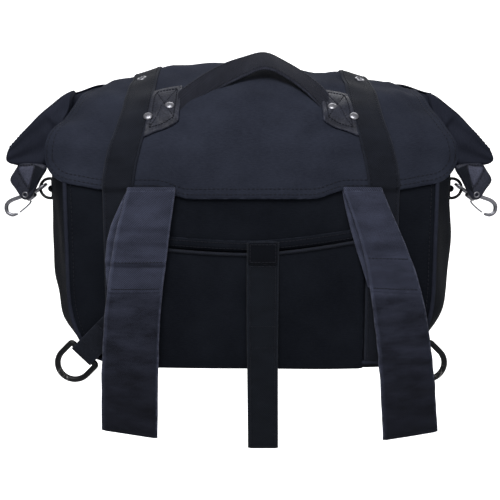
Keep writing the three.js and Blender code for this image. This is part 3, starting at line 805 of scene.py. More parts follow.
def on_lid(x, s, lift=0.0, sign=1):
    """Points on the lid at x across and length s, lift millimetres out from its inner face. With sign -1 they
    have the other side's unevenness, for a form that is mirrored afterwards."""
    x, s, lift = np.broadcast_arrays(np.asarray(x, float), np.asarray(s, float), np.asarray(lift, float))
    return lid_base(x, s) + lid_out(x, s) * (lid_relief(sign * x, s) + lift)[..., None]


def lid_out(x, s):
    """The lid's outward normal, from small steps across and along it."""
    across = lid_base(x + 0.5, s) - lid_base(x - 0.5, s)
    return unit(np.cross(across, lid_base(x, s + 0.5) - lid_base(x, s - 0.5)))


def hem_z(x, inside=0):
    """The yoke's lower edge, or a line inside it: higher above the rack straps, with rounded corners."""
    round_by = HEM_CORNER - inside
    corner = np.clip((np.abs(x) - LID_HALF + HEM_CORNER) / round_by, 0, 1)
    rise = 9 * ease(np.abs(x), 60, 95) + 6 * ease(np.abs(x), 140, 186)
    return HEM_Z + inside + rise + round_by * (1 - np.sqrt(1 - corner**2))


def lid_seam(x, s):
    return stitches(on_lid(x, s, LID_CLOTH), lid_out(x, s))


def build_lid():
    def panel(u, v):
        x = LID_HALF * np.sin((2 * u - 1) * 1.35) / math.sin(1.35)
        foot = hem_z(x)
        corner = np.clip((np.abs(x) - LID_HALF + 14) / 14, 0, 1)
        end = FLAP_END - 14 * (1 - np.sqrt(1 - corner**2))
        return on_lid(x, lerp(foot, end, v), LID_CLOTH / 2)

    form = cloth(panel, 120, 150, LID_CLOTH, lambda u, v: 0.35 * bump(v, 0.46, 0.05))
    piece("lid_cloth", form, LID_CANVAS, "bag", ("yoke", "lid_panel"), HINGE)
    side = np.linspace(hem_z(LID_HALF - 30.0) + 22, FLAP_END - 16, 300)
    edges = [lid_seam(np.full(300, sign * (LID_HALF - inset)), side) for inset in EDGE_ROWS for sign in (1, -1)]
    piece("lid_edge_stitches", together(edges), THREAD, "bag", (), HINGE)
    x = np.linspace(-LID_HALF + EDGE_ROWS[0], LID_HALF - EDGE_ROWS[0], 500)
    hems = []
    for inset in EDGE_ROWS:
        wide = np.clip(x, -LID_HALF + inset, LID_HALF - inset)
        hems += [lid_seam(wide, hem_z(wide, inset)), lid_seam(wide, 0 * wide + FLAP_END - inset)]
    piece("lid_hem_stitches", together(hems), THREAD, "bag", (), HINGE)


def webbing_x(s):
    """The middle of the right webbing: further out down the back than over the lid."""
    z = np.interp(s, LID_AT, LID_LINE[:, 1])
    return np.where(s < RIDGE_AT, lerp(131, 115, ease(z, 30, 120)), 115)


def sided_cloth(surface, columns, rows, thick):
    """A sheet for pair, from a surface(u, v, sign) that differs between the sides."""
    return lambda sign: cloth(lambda u, v: surface(u, v, sign), columns, rows, thick)


def set_in_lid(profile, sides, x, s, lift):
    """A turned fitting for pair that stands on the lid at x across and length s."""
    x, s = np.array(x), np.array(s)
    return lambda sign: placed(turned(profile, sides), on_lid(x, s, lift, sign), (1, 0, 0), lid_out(x, s))


def webbing_lift(s):
    """The middle of the webbing above the lid's inner face. Below the hem it lies on the body instead."""
    return lerp(0.1, LID_CLOTH + 1.1, ease(s, 29, 36))


def build_webbings():
    def band(u, v, sign):
        s = lerp(BASE_Z + 5, FLAP_END, v)
        cupped = 0.35 * (1 - (2 * u - 1) ** 2)
        return on_lid(webbing_x(s) + (u - 0.5) * WEBBING_WIDTH, s, webbing_lift(s) + cupped, sign)

    def row(across, sign):
        s = np.linspace(BASE_Z + 8, FLAP_END - 3, 500)
        return stitches(on_lid(webbing_x(s) + across, s, webbing_lift(s) + 0.95, sign), lid_out(webbing_x(s), s))

    pair("webbing", sided_cloth(band, 10, 260, WEBBING_THICK), WEBBING, "bag",
         ("back_webbing_", "lid_webbing_"), HINGE)
    pair("webbing_stitches", lambda sign: together(row(across, sign) for across in (-12.6, 12.6)), THREAD, "bag",
         (), HINGE)


def build_lid_metal():
    ring = [(2.7, 0), (5.2, 0), (5.4, 0.6), (4.6, 1.3), (3.4, 1.5), (2.7, 0.9)]
    eyelet = set_in_lid(ring, 32, 118.0, row_at(6.95), LID_CLOTH + 2.0)
    pair("lid_eyelet_ring", eyelet, NICKEL, "lid", ("lid_eyelet_",))


# Handle ----------------------------------------------------------------------------------------------


def patch_point(u, v):
    """The right patch in the lid's own lengths: u runs outwards, v up; its outer side reaches lower."""
    x = lerp(72, lerp(104.5, 98.5, v), u)
    low, high = lerp(row_at(1.95), row_at(0.8), u), lerp(row_at(5.15), row_at(4.75), u)
    return x, lerp(low, high, v)


def build_patches():
    def panel(u, v, sign):
        puff = 0.5 * (1 - (2 * u - 1) ** 4) * (1 - (2 * v - 1) ** 4)
        seam = sum(bump(across, at, 0.035) for across, at in ((u, 0.13), (u, 0.87), (v, 0.1), (v, 0.9)))
        cross = bump(v, 0.1 + (u - 0.13) * 1.08, 0.03) + bump(v, 0.9 - (u - 0.13) * 1.08, 0.03)
        x, s = patch_point(u, v)
        return on_lid(x, s, LID_CLOTH + 1.5 + puff - 0.35 * np.clip(seam + cross, 0, 1), sign)

    def box(sign):
        """Stitches round the patch and along both its diagonals."""
        a, b, c, d = (0.13, 0.1), (0.87, 0.1), (0.87, 0.9), (0.13, 0.9)
        rows = []
        for start, end in ((a, b), (b, c), (c, d), (d, a), (a, c), (b, d)):
            x, s = patch_point(*np.linspace(start, end, 60).T)
            rows.append(stitches(on_lid(x, s, LID_CLOTH + 2.75, sign), lid_out(x, s), 3.0, 0.1, 2.5, 0.5))
        return together(rows)

    pair("handle_patch_leather", sided_cloth(panel, 44, 60, 2.2), LEATHER, "lid", ("handle_patch_",))
    pair("patch_stitches", box, THREAD, "lid")
    head = [(0, -0.4), (4.3, -0.4), (4.8, 0.1), (4.6, 0.8), (3.6, 1.4), (1.8, 1.8), (0, 1.9)]
    for name, u, v in (("rivet_upper", 0.31, 0.40), ("rivet_lower", 0.97, 0.34)):
        rivet = set_in_lid(head, 30, *patch_point(u, v), LID_CLOTH + 2.9)
        pair(name + "_head", rivet, NICKEL, "lid", (name + "_",))


def handle_point(across, t):
    """The handle's arch: t runs from its left root to its right, across from its rear edge to its front edge.
    It leaves the lid steeply, leans back towards upright, peaks right of the middle and twists a little."""
    x = lerp(-74, 79, t)
    rise = np.sin(math.pi * t ** 1.12) ** 0.86
    lean = np.radians(lerp(48, 37, rise) + 6 * np.sin(TAU * t))
    width = 37 * (1 - 0.06 * rise)
    peak = 4.5 * bump(x, 15, 17)
    y = lerp(24.5, 70, rise ** 0.9) + across * width * np.cos(lean)
    z = lerp(116, 161.5, rise) + peak + across * width * np.sin(lean) + 0.8 * np.sin(9 * t + 1)
    return xyz(x, y, z - 1.2 * (2 * across) ** 2)


def build_handle():
    form = cloth(lambda u, v: handle_point(0.5 - u, v), 12, 110, 2.6, lambda u, v: 0.5 * bump(v, 0.5, 0.15))
    piece("handle_band", form, HANDLE_BAND, "handle", ("handle_strap",))
    rows = []
    for edge in (-0.42, 0.42):
        t = np.linspace(0.03, 0.97, 200)
        path = handle_point(edge + 0 * t, t)
        out = facing(np.stack([handle_point(edge + d + 0 * t, t) for d in (-0.02, 0, 0.02)], 1))[:, 1]
        out *= np.sign(out[:, 2:] + 1e-6)
        rows.append(stitches(path + out * 1.3, out, 4.0))
    piece("handle_stitches", together(rows), THREAD, "handle")


# Rack side -------------------------------------------------------------------------------------------


def build_pocket():
    """The slip pocket: puffed out from its sides and foot, its mouth slack, with a bound edge along it."""
    half = 113

    def mouth(u):
        x = (2 * u - 1) * half
        return -31 + 7 * np.clip(-(x + 5) / 105, 0, 1) ** 1.5 + 14 * np.clip((x - 5) / 108, 0, 1) ** 1.4

    def panel(u, v):
        x = (2 * u - 1) * half
        z = lerp(BASE_Z + 3, mouth(u), v)
        room = 5.6 * np.sin(math.pi * np.clip(u, 0, 1)) ** 0.45 * np.sin(math.pi / 2 * v ** 0.8)
        sag = 0.9 * crumple(x, z * 1.7, 80, 31) * np.sin(math.pi * u) * v
        return xyz(x, -1.3 - room - sag, z - base_sag(x, z))

    form = cloth(panel, 70, 44, 1.8, lambda u, v: 0.3 * bump(v, 0.06, 0.03))
    piece("pocket_cloth", form, SHADED_BODY_CANVAS, "bag", ("pocket_panel",))
    u = np.linspace(0.004, 0.996, 160)
    edge = panel(u, 1 + 0 * u)
    binding = swept(edge + (0, -0.2, -0.8), slab(5.5, 3.2, 1.5)[:, ::-1], (0, 0, 1), wear=0.1)
    piece("pocket_binding", binding, WEBBING, "bag")
    piece("pocket_stitches", stitches(edge + (0, -1.7, -1.9), (0, -1, 0), 3.6), THREAD, "bag")

    def welt(u, v):
        x = lerp(-half - 4, half + 4, u)
        z = lerp(mouth(u) + 1.6, mouth(u) + 12, v)
        return xyz(x, -1.6 - 1.8 * np.sin(math.pi * v * 0.9) * np.sin(math.pi * u) ** 0.3, z)

    piece("pocket_welt", cloth(welt, 70, 8, 1.4), SHADED_BODY_CANVAS, "bag")
    runs = [welt(u, at + 0 * u) + (0, -1.0, 0) for at in (0.25, 0.8)]
    piece("welt_stitches", seams(runs, (0, -1, 0), 3.6), THREAD, "bag")


def evened(*knots):
    """Nine values from a strap's top to its end, as a finer table without corners."""
    fine = np.interp(np.linspace(0, 8, 81), np.arange(9), knots)
    return softened(np.stack([np.arange(81), fine], -1), 7)[:, 1]


# A rack strap from top to end: its middle and its width; then how far it is turned about its own length, how
# its end slants and how much higher that ends, how far its lining is shifted, the height of its upper seam, and
# its creases: height, reach and depth
STRAPS = {
    "left": {
        "x": evened(-97, -104, -109, -114, -118, -120, -122, -123, -124),
        "width": evened(45, 49.5, 52, 52.5, 53, 54, 55, 55, 55),
        "turn": -0.07, "slant": -8.5, "higher": 2.0, "shift": -8.0, "seam": -38, "seed": 48,
        "creases": [(-2, 5, 0.9), (-17, 4, 0.8), (-38, 3, 1.3), (-97, 9, 1.2), (-118, 12, 1.4), (-150, 12, 1.0)],
    },
    "right": {
        "x": evened(109, 121, 133, 142, 148, 153, 157, 160, 163),
        "width": evened(36, 38, 42, 47.5, 50, 51, 52.5, 53.5, 54.5),
        "turn": 0.20, "slant": 9.5, "higher": 0.0, "shift": -6.0, "seam": -34, "seed": 49,
        "creases": [(-20, 6, 0.8), (-46, 9, 1.2), (-88, 10, 1.2), (-112, 8, 1.3), (-134, 6, 1.2), (-160, 8, 1.0)],
    },
}


def strap_point(strap, across, z, lift, shift=0.0):
    """A rack strap: its middle swings out sideways as it falls, it bows off the bag, turns slightly about its
    own length, cups a little and is creased across where it has been folded."""
    share = np.clip((STRAP_TOP - z) / (STRAP_TOP - STRAP_END), 0, 1)
    x, width = (np.interp(share, np.linspace(0, 1, 81), strap[key]) for key in ("x", "width"))
    bow = lerp(-7.6, -13.8, ease(-z, -STRAP_TOP, 15)) + 3.2 * ease(-z, 150, 218)
    turn = strap["turn"] * (1 - ease(-z, 40, 200))
    relief = sum(high * (bump(z + 0.05 * across * width, at, reach) - 0.6 * bump(z, at - 1.6 * reach, reach))
                 for at, reach, high in strap["creases"])
    relief = 1.4 * relief + 0.8 * crumple(across * width * 0.4, z, 30, strap["seed"])
    cup = 1.6 * (1 - (2 * across) ** 2) * (1 - ease(-z, 60, 200))
    y = bow - across * width * turn - relief - cup - lift
    return xyz(x + shift + across * width * np.sqrt(1 - turn**2), y, z)


def build_rack_straps():
    top, lining = STRAP_TOP - 1.5, -3.6  # height where the strap folds over, and how far back its lining lies
    for side, strap in STRAPS.items():
        def band(u, v):
            across = u - 0.5
            z = lerp(STRAP_END + strap["slant"] * across + strap["higher"], top, v)
            return strap_point(strap, across, z, 1.3 * ease(z, STRAP_STEP - 0.6, STRAP_STEP + 0.6))

        def under(u, v):
            shift = lerp(-1.0, strap["shift"], np.sin(math.pi * np.clip(v, 0, 1)))
            return strap_point(strap, u - 0.5, lerp(STRAP_STEP + 3, top, v), lining, shift)

        def fold(u, v):
            """The top of the strap, rolled over towards the bag: half a turn from its lining to the band."""
            front, back = (strap_point(strap, u - 0.5, top + 0 * v, lift, shift)
                           for lift, shift in ((1.3, 0), (lining, -1.0)))
            angle = math.pi * (1 - v)[..., None]
            return lerp(front, back, 0.5 - 0.5 * np.cos(angle)) + np.sin(angle) * np.array([0, 0, 2.6])

        body, joint, slot = f"rack_strap_{side}", ("bag", (0, -5, 20), (0, -5, 34)), "hook_loop_tape"
        piece(f"{body}_band", cloth(band, 18, 210, 2.2, lambda u, v: 0.5 * bump(v, 0.6, 0.02)), RACK_TAPE, body,
              (body,), joint)
        piece(f"{body}_lining", cloth(under, 12, 90, 2.0), RACK_TAPE, body, (f"rack_strap_under_{side}",),
              joint)
        piece(f"{body}_fold", cloth(fold, 14, 12, 2.0), RACK_TAPE, "bag")
        across = np.linspace(-0.46, 0.46, 60)
        runs = [strap_point(strap, across, z + 0 * across, 2.5) for z in (STRAP_STEP + 3.5, strap["seam"])]
        piece(f"{body}_stitches", seams(runs, (0, -1, 0), 3.4), THREAD, body, (), joint)


def centre_point(across, z, lift=0.0):
    """The centre strap: straight and flat, with a slight wave where it hangs free below the base."""
    wave = 0.7 * np.sin(z / 17) * ease(-z, 30, 120)
    return xyz(12 + across * (30 - 0.8 * ease(-z, 60, 200)) + 0.5 * np.sin(z / 60), -9.9 - wave - lift, z)


def build_centre_strap():
    form = cloth(lambda u, v: centre_point(u - 0.5, lerp(-231.5, -19, v)), 12, 170, 1.8)
    joint = ("bag", (0, -9, -34), (0, -9, -20))
    piece("centre_strap_band", form, NARROW_TAPE, "centre_strap", ("centre_strap",), joint)
    patch = cloth(lambda u, v: centre_point((u - 0.5) * 0.92, lerp(-40, -19.5, v), 1.9), 20, 16, 1.6)
    piece("centre_loop_patch", patch, LOOP_PILE, "centre_strap", ("centre_patch",), joint)
    across, down = np.linspace(-0.42, 0.42, 40), np.linspace(-39, -20.5, 40)
    runs = [centre_point(across, at + 0 * across, 2.8) for at in (-38.6, -21)]
    runs += [centre_point(at + 0 * down, down, 2.8) for at in (-0.42, 0.42)]
    runs += [centre_point(across, at + 0 * across, 1.0) for at in (-43, -104, -126)]
    runs += [centre_point(at + 0 * down, np.linspace(-44, -228, 40), 1.0) for at in (-0.42, 0.42)]
    piece("centre_strap_stitches", seams(runs, (0, -1, 0), 3.2), THREAD, "centre_strap", (),
          joint)


# Rolled top ------------------------------------------------------------------------------------------


def shoulder(x, y, z):
    return xyz(x, y, z - shoulder_drop(np.abs(x), 205) * climbed(z))


def build_rolled_top():
    """The bag's top drawn together: a back and a front that lean in to the roll, and an end that closes each
    side between them; then the roll itself, a spiral of cloth."""
    back = ((2.5, RIM_Z - 5), (11, 118), (RIDGE_Y - 9, RIDGE_Z - 19))
    front = ((DEPTH - 3.5, BODY_TOP_Z + 1), (DEPTH - 1, 124), (RIDGE_Y + 9, RIDGE_Z - 19))

    def leaf(line, seed, sign):
        def surface(u, v):
            x = sign * (2 * u - 1) * 183
            y, z = np.moveaxis(bezier(line, v), -1, 0)
            gather = 1.6 * crumple(x, v * 60, 50, seed) * np.sin(math.pi * v)
            return shoulder(x, y + sign * (2.2 + gather), z - 1.5 + gather)
        return surface

    def end(u, v, sign):
        a, b = bezier(back, v), bezier(front, v)
        y = lerp(a[..., 0] + 1, b[..., 0] - 1, u)
        turn = 1 + y / DEPTH if sign > 0 else 4 - y / DEPTH
        flare = (np.abs(body_side(turn, 60 + 0 * y)[..., 0]) - 1.6 - BACK_HALF) * (1 - v) ** 4
        pleat = 2.4 * np.sin(u * 26) * np.sin(math.pi * v) * np.sin(math.pi * u)
        z = lerp(BODY_TOP_Z - 2, lerp(a[..., 1], b[..., 1], u), ease(v, 0, 0.2))
        return shoulder(BACK_HALF + flare + pleat - 2 * v, y, z - 1.5 * v)

    piece("collar_back_cloth", cloth(leaf(back, 51, 1), 60, 30, 1.5), EAR_CANVAS, "bag", ("collar_back",))
    piece("collar_front_cloth", cloth(leaf(front, 52, -1), 60, 30, 1.5), EAR_CANVAS, "bag",
          ("collar_front",))
    pair("collar_end_cloth", sided_cloth(end, 60, 20, 1.5), EAR_CANVAS, "bag", ("collar_end_",))

    x = np.linspace(-203.5, 203.5, 120)
    turn = np.linspace(0, 3.2 * TAU, 110)
    radius = 7.2 - 1.9 * turn / TAU
    x, turn = x[:, None] + 0 * turn, turn + 0 * x[:, None]
    soft = 0.7 * crumple(x, turn * 6, 60, 61)
    z = RIDGE_Z - 23.5 + radius * 1.9 * np.cos(turn) * (1 + 0.03 * soft)
    points = shoulder(x, RIDGE_Y + radius * np.sin(turn) * (1 + 0.06 * soft), z)
    form = Form()
    out = facing(points) * 0.55
    uv = measured(points)
    faces_out, faces_in = form.add(points - out), form.add(points + out)
    form.quads(faces_out[:, ::-1], uv[:, ::-1])
    form.quads(faces_in, uv)
    for a, b in ((faces_in[:, -1], faces_out[:, -1]), (faces_out[:, 0], faces_in[:, 0])):
        form.quads(np.stack([a, b], -1), np.stack([uv[:, 0], uv[:, 1]], 1))
    for a, b in ((faces_out[0], faces_in[0]), (faces_in[-1], faces_out[-1])):
        form.quads(np.stack([a, b]), np.stack([uv[0], uv[1]]))
    piece("top_roll_cloth", form, EAR_CANVAS, "bag", ("top_roll",))


# Ears ------------------------------------------------------------------------------------------------


def ear_point(turn, u, sign=1):
    """An ear as a puffed pocket of folded cloth: u runs from its root to its tip, turn once round its rim from
    the rear face. Its section is a rounded slot that narrows and thins to the tip; folds fan in from the tip
    and a deep tuck runs up beside the lid."""
    point = np.sqrt(np.clip(1 - np.clip((u - 0.9) / 0.1, 0, 1) ** 2, 0.0016, 1))
    top = (136.5 if sign < 0 else 134) - 68 * u**1.42 - 2.5 * np.sin(math.pi * u)
    bottom = lerp(62, 49.2, ease(u, 0.02, 0.3)) + 7.5 * u**2
    top, bottom = lerp(60.5, top, point), lerp(60.5, bottom, point)
    width = lerp(40, 14, u**0.7) * point
    up, out = np.sin(turn), -np.cos(turn)
    section_up = np.sign(up) * np.abs(up) ** 0.7
    section_out = np.sign(out) * np.abs(out) ** 0.85
    height = lerp(bottom, top, 0.5 + 0.5 * section_up)
    fan = np.sin(7 * section_up + 2.2 * u + 0.6) * 1.7 * np.sin(math.pi * np.clip(u, 0, 1)) ** 0.5
    tuck = -5.0 * bump(u, 0.10 + 0.10 * (1 - section_up) / 2, 0.07) * (0.6 - 0.4 * section_up)
    soft = 1.3 * crumple(u * 70, height, 34, 71) * point
    lip = 5.5 * (ease(height - 60 * u, 82, 90) - 0.5) * (1 - ease(u, 0.18, 0.5)) * ease(u, -0.3, 0.1)
    low = (1 - section_up) / 2
    upper = 9.5 * (1 - ease(low, 0, 0.6))
    x = 205.5 - upper * (1 - u) + 13 * low**3 * (1 - u) + 67.5 * u + 0.8 * soft + (0 if sign < 0 else -2.5 * u)
    y = 105 - 8 * u + (width / 2 + ((fan + tuck + lip) * point + soft) * np.abs(out)) * section_out
    return xyz(x, y, height)


def ear_form(sign):
    u = np.concatenate([np.linspace(0, 0.9, 56), 0.9 + 0.1 * np.sin(np.linspace(0.1, math.pi / 2, 14))])
    grid_turn, grid_u = np.meshgrid(np.linspace(0, TAU, 80, endpoint=False), u)
    points = ear_point(grid_turn, grid_u, sign)
    form = Form()
    ids = form.add(points, 0.55 * bump(grid_turn, math.pi / 2, 0.16) + 0.4 * ease(grid_u, 0.95, 1))
    form.quads(ringed(ids), measured(ringed(points)))
    form.cap(ids[0][::-1], points[0].mean(0))
    form.cap(ids[-1], points[-1].mean(0) + (0.1, 0, 0))
    return form


EAR_JOINT = ("ear_", (206, 105, 110), (222, 105, 110))


def build_ears():
    for made in pair("ear_cloth", ear_form, EAR_CANVAS, "bag", ("ear_",), EAR_JOINT).values():
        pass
    t = np.linspace(0.12, 0.93, 120)
    out = unit(np.stack([0 * t, -0.75 + 0 * t, 0.65 + 0 * t], -1))
    pair("ear_stitches", lambda sign: stitches(ear_point(math.pi / 2 - 0.55 + 0 * t, t, sign) + out * 0.1, out),
         THREAD, "bag", (), EAR_JOINT)


TAB_OUTLINE = [(227, 50), (230, 55), (244, 57), (256, 56), (263, 48), (268.5, 37.5), (262.5, 27), (256.5, 17.5),
               (251.5, 15.6), (246.5, 17.5), (241, 26), (234.5, 38)]


def outline_form(outline, y, thick, soft, count, dish):
    """A flat leather shape in the XZ plane with a soft edge: rings of its outline, drawn in towards the middle
    and stepping back, close to a pole on each face. Its faces are dished out by dish in the middle."""
    loop = spline(outline, count, True)
    centre = loop.mean(0)
    spokes = loop - centre
    drawn_in = centre + spokes * (1 - soft / np.linalg.norm(spokes, axis=-1, keepdims=True))
    shares = (0.02, 0.25, 0.6, 1.0)
    rings, wear = [], []
    for face, order in ((1, shares), (-1, shares[::-1])):
        for share in order:
            flat = drawn_in if share == 1.0 else centre + spokes * share
            rings.append(xyz(flat[:, 0], y - face * (thick / 2 + dish * (1 - share**2)), flat[:, 1]))
            wear.append(0.7 if share == 1.0 else 0.0)
        if face > 0:
            rings.append(xyz(loop[:, 0], y, loop[:, 1]))
            wear.append(1.0)
    points = np.stack(rings)
    form = Form()
    ids = form.add(points, np.array(wear)[:, None])
    form.quads(ringed(ids), ringed(points)[..., ::2] * MM)
    form.cap(ids[0][::-1], points[0].mean(0))
    form.cap(ids[-1], points[-1].mean(0))
    return form


def build_tabs():
    tab = outline_form(TAB_OUTLINE, 93.0, 4.6, 1.2, 120, 0.4)
    pair("ear_tab_leather", tab, TAB_LEATHER, "ear_", ("ear_tab_",))
    inset_outline = [(240.5, 52), (248, 53), (256.5, 52), (256.5, 47), (249.5, 33.5), (246.5, 33)]
    inset = outline_form(inset_outline, 90.3, 1.2, 0.8, 100, 0.3)
    pair("tab_inset_leather", inset, TAB_INSET, "ear_")
    leg = cloth(lambda u, v: xyz(lerp(lerp(228.5, 238.5, u), lerp(243.8, 248.0, u), 1 - v), 90.2 + 0 * u,
                                 lerp(lerp(49.5, 54, u), lerp(27, 24, u), 1 - v)), 10, 30, 1.2)
    pair("tab_leg_tape", leg, WEBBING, "ear_")
    loop = spline([(239, 53), (248, 54.5), (258, 53.5), (258, 46.5), (250, 31.5), (245.5, 31)], 200, True)
    line = xyz(loop[:, 0], 89.9, loop[:, 1])
    pair("tab_stitches", stitches(np.r_[line, line[:1]], (0, -1, 0), 3.0, 0.1, 2.2), THREAD, "ear_")
    ring = turned([(1.9, 0), (3.5, 0), (3.6, 0.5), (3.1, 1.1), (2.4, 1.2), (1.9, 0.7)], 28)
    pair("tab_eyelet_ring", placed(ring, (251.5, 90.6, 21.6), (1, 0, 0), (0, -1, 0)), NICKEL, "ear_",
         ("tab_eyelet_",))


# Rings and snap hooks --------------------------------------------------------------------------------


def d_loop(half, reach, count=120):
    """A D in a plane: a straight bar from -half to half at 0, and a bow that ends at reach."""
    turn = np.linspace(-math.pi / 2, math.pi / 2, 40)
    bow = np.stack([reach - half + half * np.cos(turn), half * np.sin(turn)], -1)
    corner = np.array([(1.2, half), (0.2, half - 1.2), (0, half - 3)])
    loop = np.concatenate([bow, corner, corner[::-1] * (1, -1)])
    return along(np.r_[loop, loop[:1]], np.linspace(0, 1, count, endpoint=False))


def build_side_rings():
    loop = d_loop(11, 14)
    path = xyz(RING_X + loop[:, 0], RING_Y, RING_Z + loop[:, 1])
    form = swept(path, disc(1.7, 12), (0, 1, 0), closed=True, wear=0.6 + 0.4 * bump(loop[:, 0], 14, 3))
    pair("side_ring_steel", form, BLACK_METAL, "side_ring_", ("side_ring_",))
    turn = np.linspace(0, TAU, 40, endpoint=False)
    outward = xyz(np.cos(turn), 0, np.sin(turn))
    tape = swept(outward * 3 + (RING_X, RING_Y, RING_Z), slab(1.6, 14, 0.7), outward, closed=True)
    pad = cloth(lambda u, v: xyz(RING_X - 3.1, RING_Y + (u - 0.5) * 20, RING_Z + (v - 0.5) * 38), 12, 20, 1.5)
    pair("side_keeper_tape", tape.joined(pad), WEBBING, "bag", ("side_keeper_",))
    down, across = np.linspace(-17, 17, 40), np.linspace(-8, 8, 20)
    runs = [xyz(RING_X - 2.3, RING_Y + y, RING_Z + down) for y in (-8.3, 8.3)]
    runs += [xyz(RING_X - 2.3, RING_Y + across, RING_Z + z) for z in (-16.5, 16.5)]
    pair("side_keeper_stitches", seams(runs, (1, 0, 0), 3.2), THREAD, "bag")


HOOK_TILT = math.radians(35)


def on_hook(points):
    """From the hook's own frame, its jaw along X, to its place on the side ring's bow."""
    x, y, z = np.moveaxis(points, -1, 0)
    c, s = math.cos(HOOK_TILT), math.sin(HOOK_TILT)
    return xyz(RING_X + 14 + x * c + z * s, RING_Y + y, RING_Z - x * s + z * c)


def build_hooks():
    turn = np.linspace(0, TAU, 60, endpoint=False)
    oval = xyz(8.2 * np.cos(turn), 5.5 * np.sin(turn), 0)
    eye = swept(oval, slab(3.0, 2.5, 1.0), (0, 0, 1), closed=True, wear=0.5)
    line = [(13, 0), (16, 2.6), (26, 5.6), (36, 8.1), (43, 6.6), (46.9, 0.4), (44.6, -5.6), (38.8, -8.2)]
    line = spline(line, 70)
    size = np.interp(np.linspace(0, 1, 70), [0, 0.1, 0.6, 0.9, 1], [1.15, 1.0, 1.0, 0.9, 0.62])
    arm = swept(xyz(line[:, 0], 0, line[:, 1]), slab(4.4, 4.6, 1.6)[:, ::-1], (0, 1, 0), size=size, wear=0.4)
    block_at = np.linspace(7.6, 19.8, 14)
    girth = np.interp(block_at, [7.6, 8.6, 10, 17.5, 18.8, 19.8], [0.6, 0.86, 1, 1, 0.9, 0.7])
    block = swept(xyz(block_at, 0, 0), slab(9.4, 8.0, 2.0), (0, 0, 1), size=girth, wear=0.5)
    pair("snap_hook_nickel", arm.joined(eye, block).moved(on_hook), NICKEL, "snap_hook_", ("snap_hook_",))
    gate_line = spline([(17.2, -5.2), (20, -6.7), (26, -7.7), (35.2, -8.3)], 40)
    gate = swept(xyz(gate_line[:, 0], 0, gate_line[:, 1]), slab(3.6, 1.5, 0.6), (0, 1, 0), wear=0.4)
    pair("hook_gate_nickel", gate.moved(on_hook), NICKEL, "hook_gate_", ("hook_gate_",))
    dome = turned([(0, -0.4), (2.9, -0.4), (3.1, 0.1), (2.5, 0.8), (1.3, 1.3), (0, 1.4)], 26)
    rivet = placed(dome, (14, -3.4, 0), (1, 0, 0), (0, -1, 0)).moved(on_hook)
    pair("hook_rivet_head", rivet, NICKEL, "snap_hook_", ("hook_rivet_",))


def corner_frame(points):
    """From a frame whose X points down and out at 45 degrees and whose Z lies along the ring's bar."""
    x, y, z = np.moveaxis(points, -1, 0)
    half = math.sqrt(0.5)
    return xyz(169 + half * (x + z), -5.8 + y, -133 + half * (z - x))


def build_corner_rings():
    loop = d_loop(17, 31, 140)
    path = xyz(loop[:, 0], 0, loop[:, 1])
    ring = swept(path, disc(3.0, 14), (0, 1, 0), closed=True, wear=0.5 + 0.5 * bump(loop[:, 0], 31, 7))
    pair("corner_ring_steel", ring.moved(corner_frame), BLACK_METAL, "corner_ring_",
         ("corner_ring_",))
    turn = np.linspace(2.45, -2.45, 30)
    round_bar = np.stack([4.4 * np.cos(turn), 4.4 * np.sin(turn)], -1)
    line = [np.linspace((-56, 4.6), (-4.5, 4.1), 26), round_bar, np.linspace((-5, -1.8), (-30, 2.4), 14)]
    line = softened(along(np.concatenate(line), np.linspace(0, 1, 90)), 2)

    def keeper(u, v):
        """A tape that comes up from the back panel, goes round the ring's bar and lies down again on itself."""
        at = along(line, v[:, 0])
        return xyz(at[:, :1] + 0 * u, at[:, 1:] + 0 * u, (u - 0.5) * 24)

    tape = cloth(keeper, 10, 90, 1.5)
    pair("corner_keeper_tape", tape.moved(corner_frame), WEBBING, "bag", ("corner_keeper_",))
    across = np.linspace(-10.5, 10.5, 40)
    sewn = seams([xyz(-9.5, -1.6, across), xyz(-30, 1.5, across)], (0, -1, 0), 3.2)
    pair("corner_keeper_stitches", sewn.moved(corner_frame), THREAD, "bag")


# Front closure ---------------------------------------------------------------------------------------


def build_closure():
    def tip(u, v):
        """A leather tongue: straight sides and a round end, swelling a little over the snap."""
        half = 11 * np.sqrt(1 - np.clip((0.28 - v) / 0.28, 0, 0.97) ** 2)
        y = 222.2 - 6.5 * (1 - v) + 0.9 * bump(v, 0.3, 0.2) * (1 - (2 * u - 1) ** 2)
        return xyz(TIP_X + (1 - 2 * u) * half, y, FLAP_Z + 1.5 - TIP_LONG * (1 - v))

    form = cloth(tip, 16, 40, 2.4)
    pair("closure_tip_leather", form, LEATHER, "closure_tip_", ("closure_tip_",))
    loop = spline([(-8.4, -4), (-8.4, -20), (-7.8, -32), (0, -38.3), (7.8, -32), (8.4, -20), (8.4, -4)], 160)
    share = 1 + loop[:, 1] / TIP_LONG
    y = 223.6 - 6.5 * (1 - share) + 0.6 * bump(share, 0.3, 0.2)
    path = xyz(TIP_X + loop[:, 0], y, FLAP_Z + 1.5 + loop[:, 1])
    pair("closure_stitches", stitches(path, (0, 1, 0), 3.2, 0.1, 2.4), THREAD, "closure_tip_")
    cap = turned([(0, -0.4), (5.9, -0.4), (6.3, 0.3), (5.9, 1.1), (4.4, 1.8), (2.2, 2.0), (0, 2.0)], 32)
    cap = placed(cap, (TIP_X, 220.2, SNAP_Z), (1, 0, 0), (0, 1, -0.15))
    pair("snap_cap_nickel", cap, NICKEL, "closure_tip_", ("snap_cap_",))
    stud = [(0, -0.6), (4.4, -0.6), (4.6, 0.2), (3.4, 0.9), (2.4, 1.2), (2.6, 2.0), (1.4, 2.4), (0, 2.4)]
    stud = turned(stud, 28)
    stud = placed(stud, (TIP_X, float(front_y(TIP_X, SNAP_Z)) - 1.2, SNAP_Z), (1, 0, 0), (0, 1, 0))
    pair("snap_stud_nickel", stud, NICKEL, "bag", ("snap_stud_",))


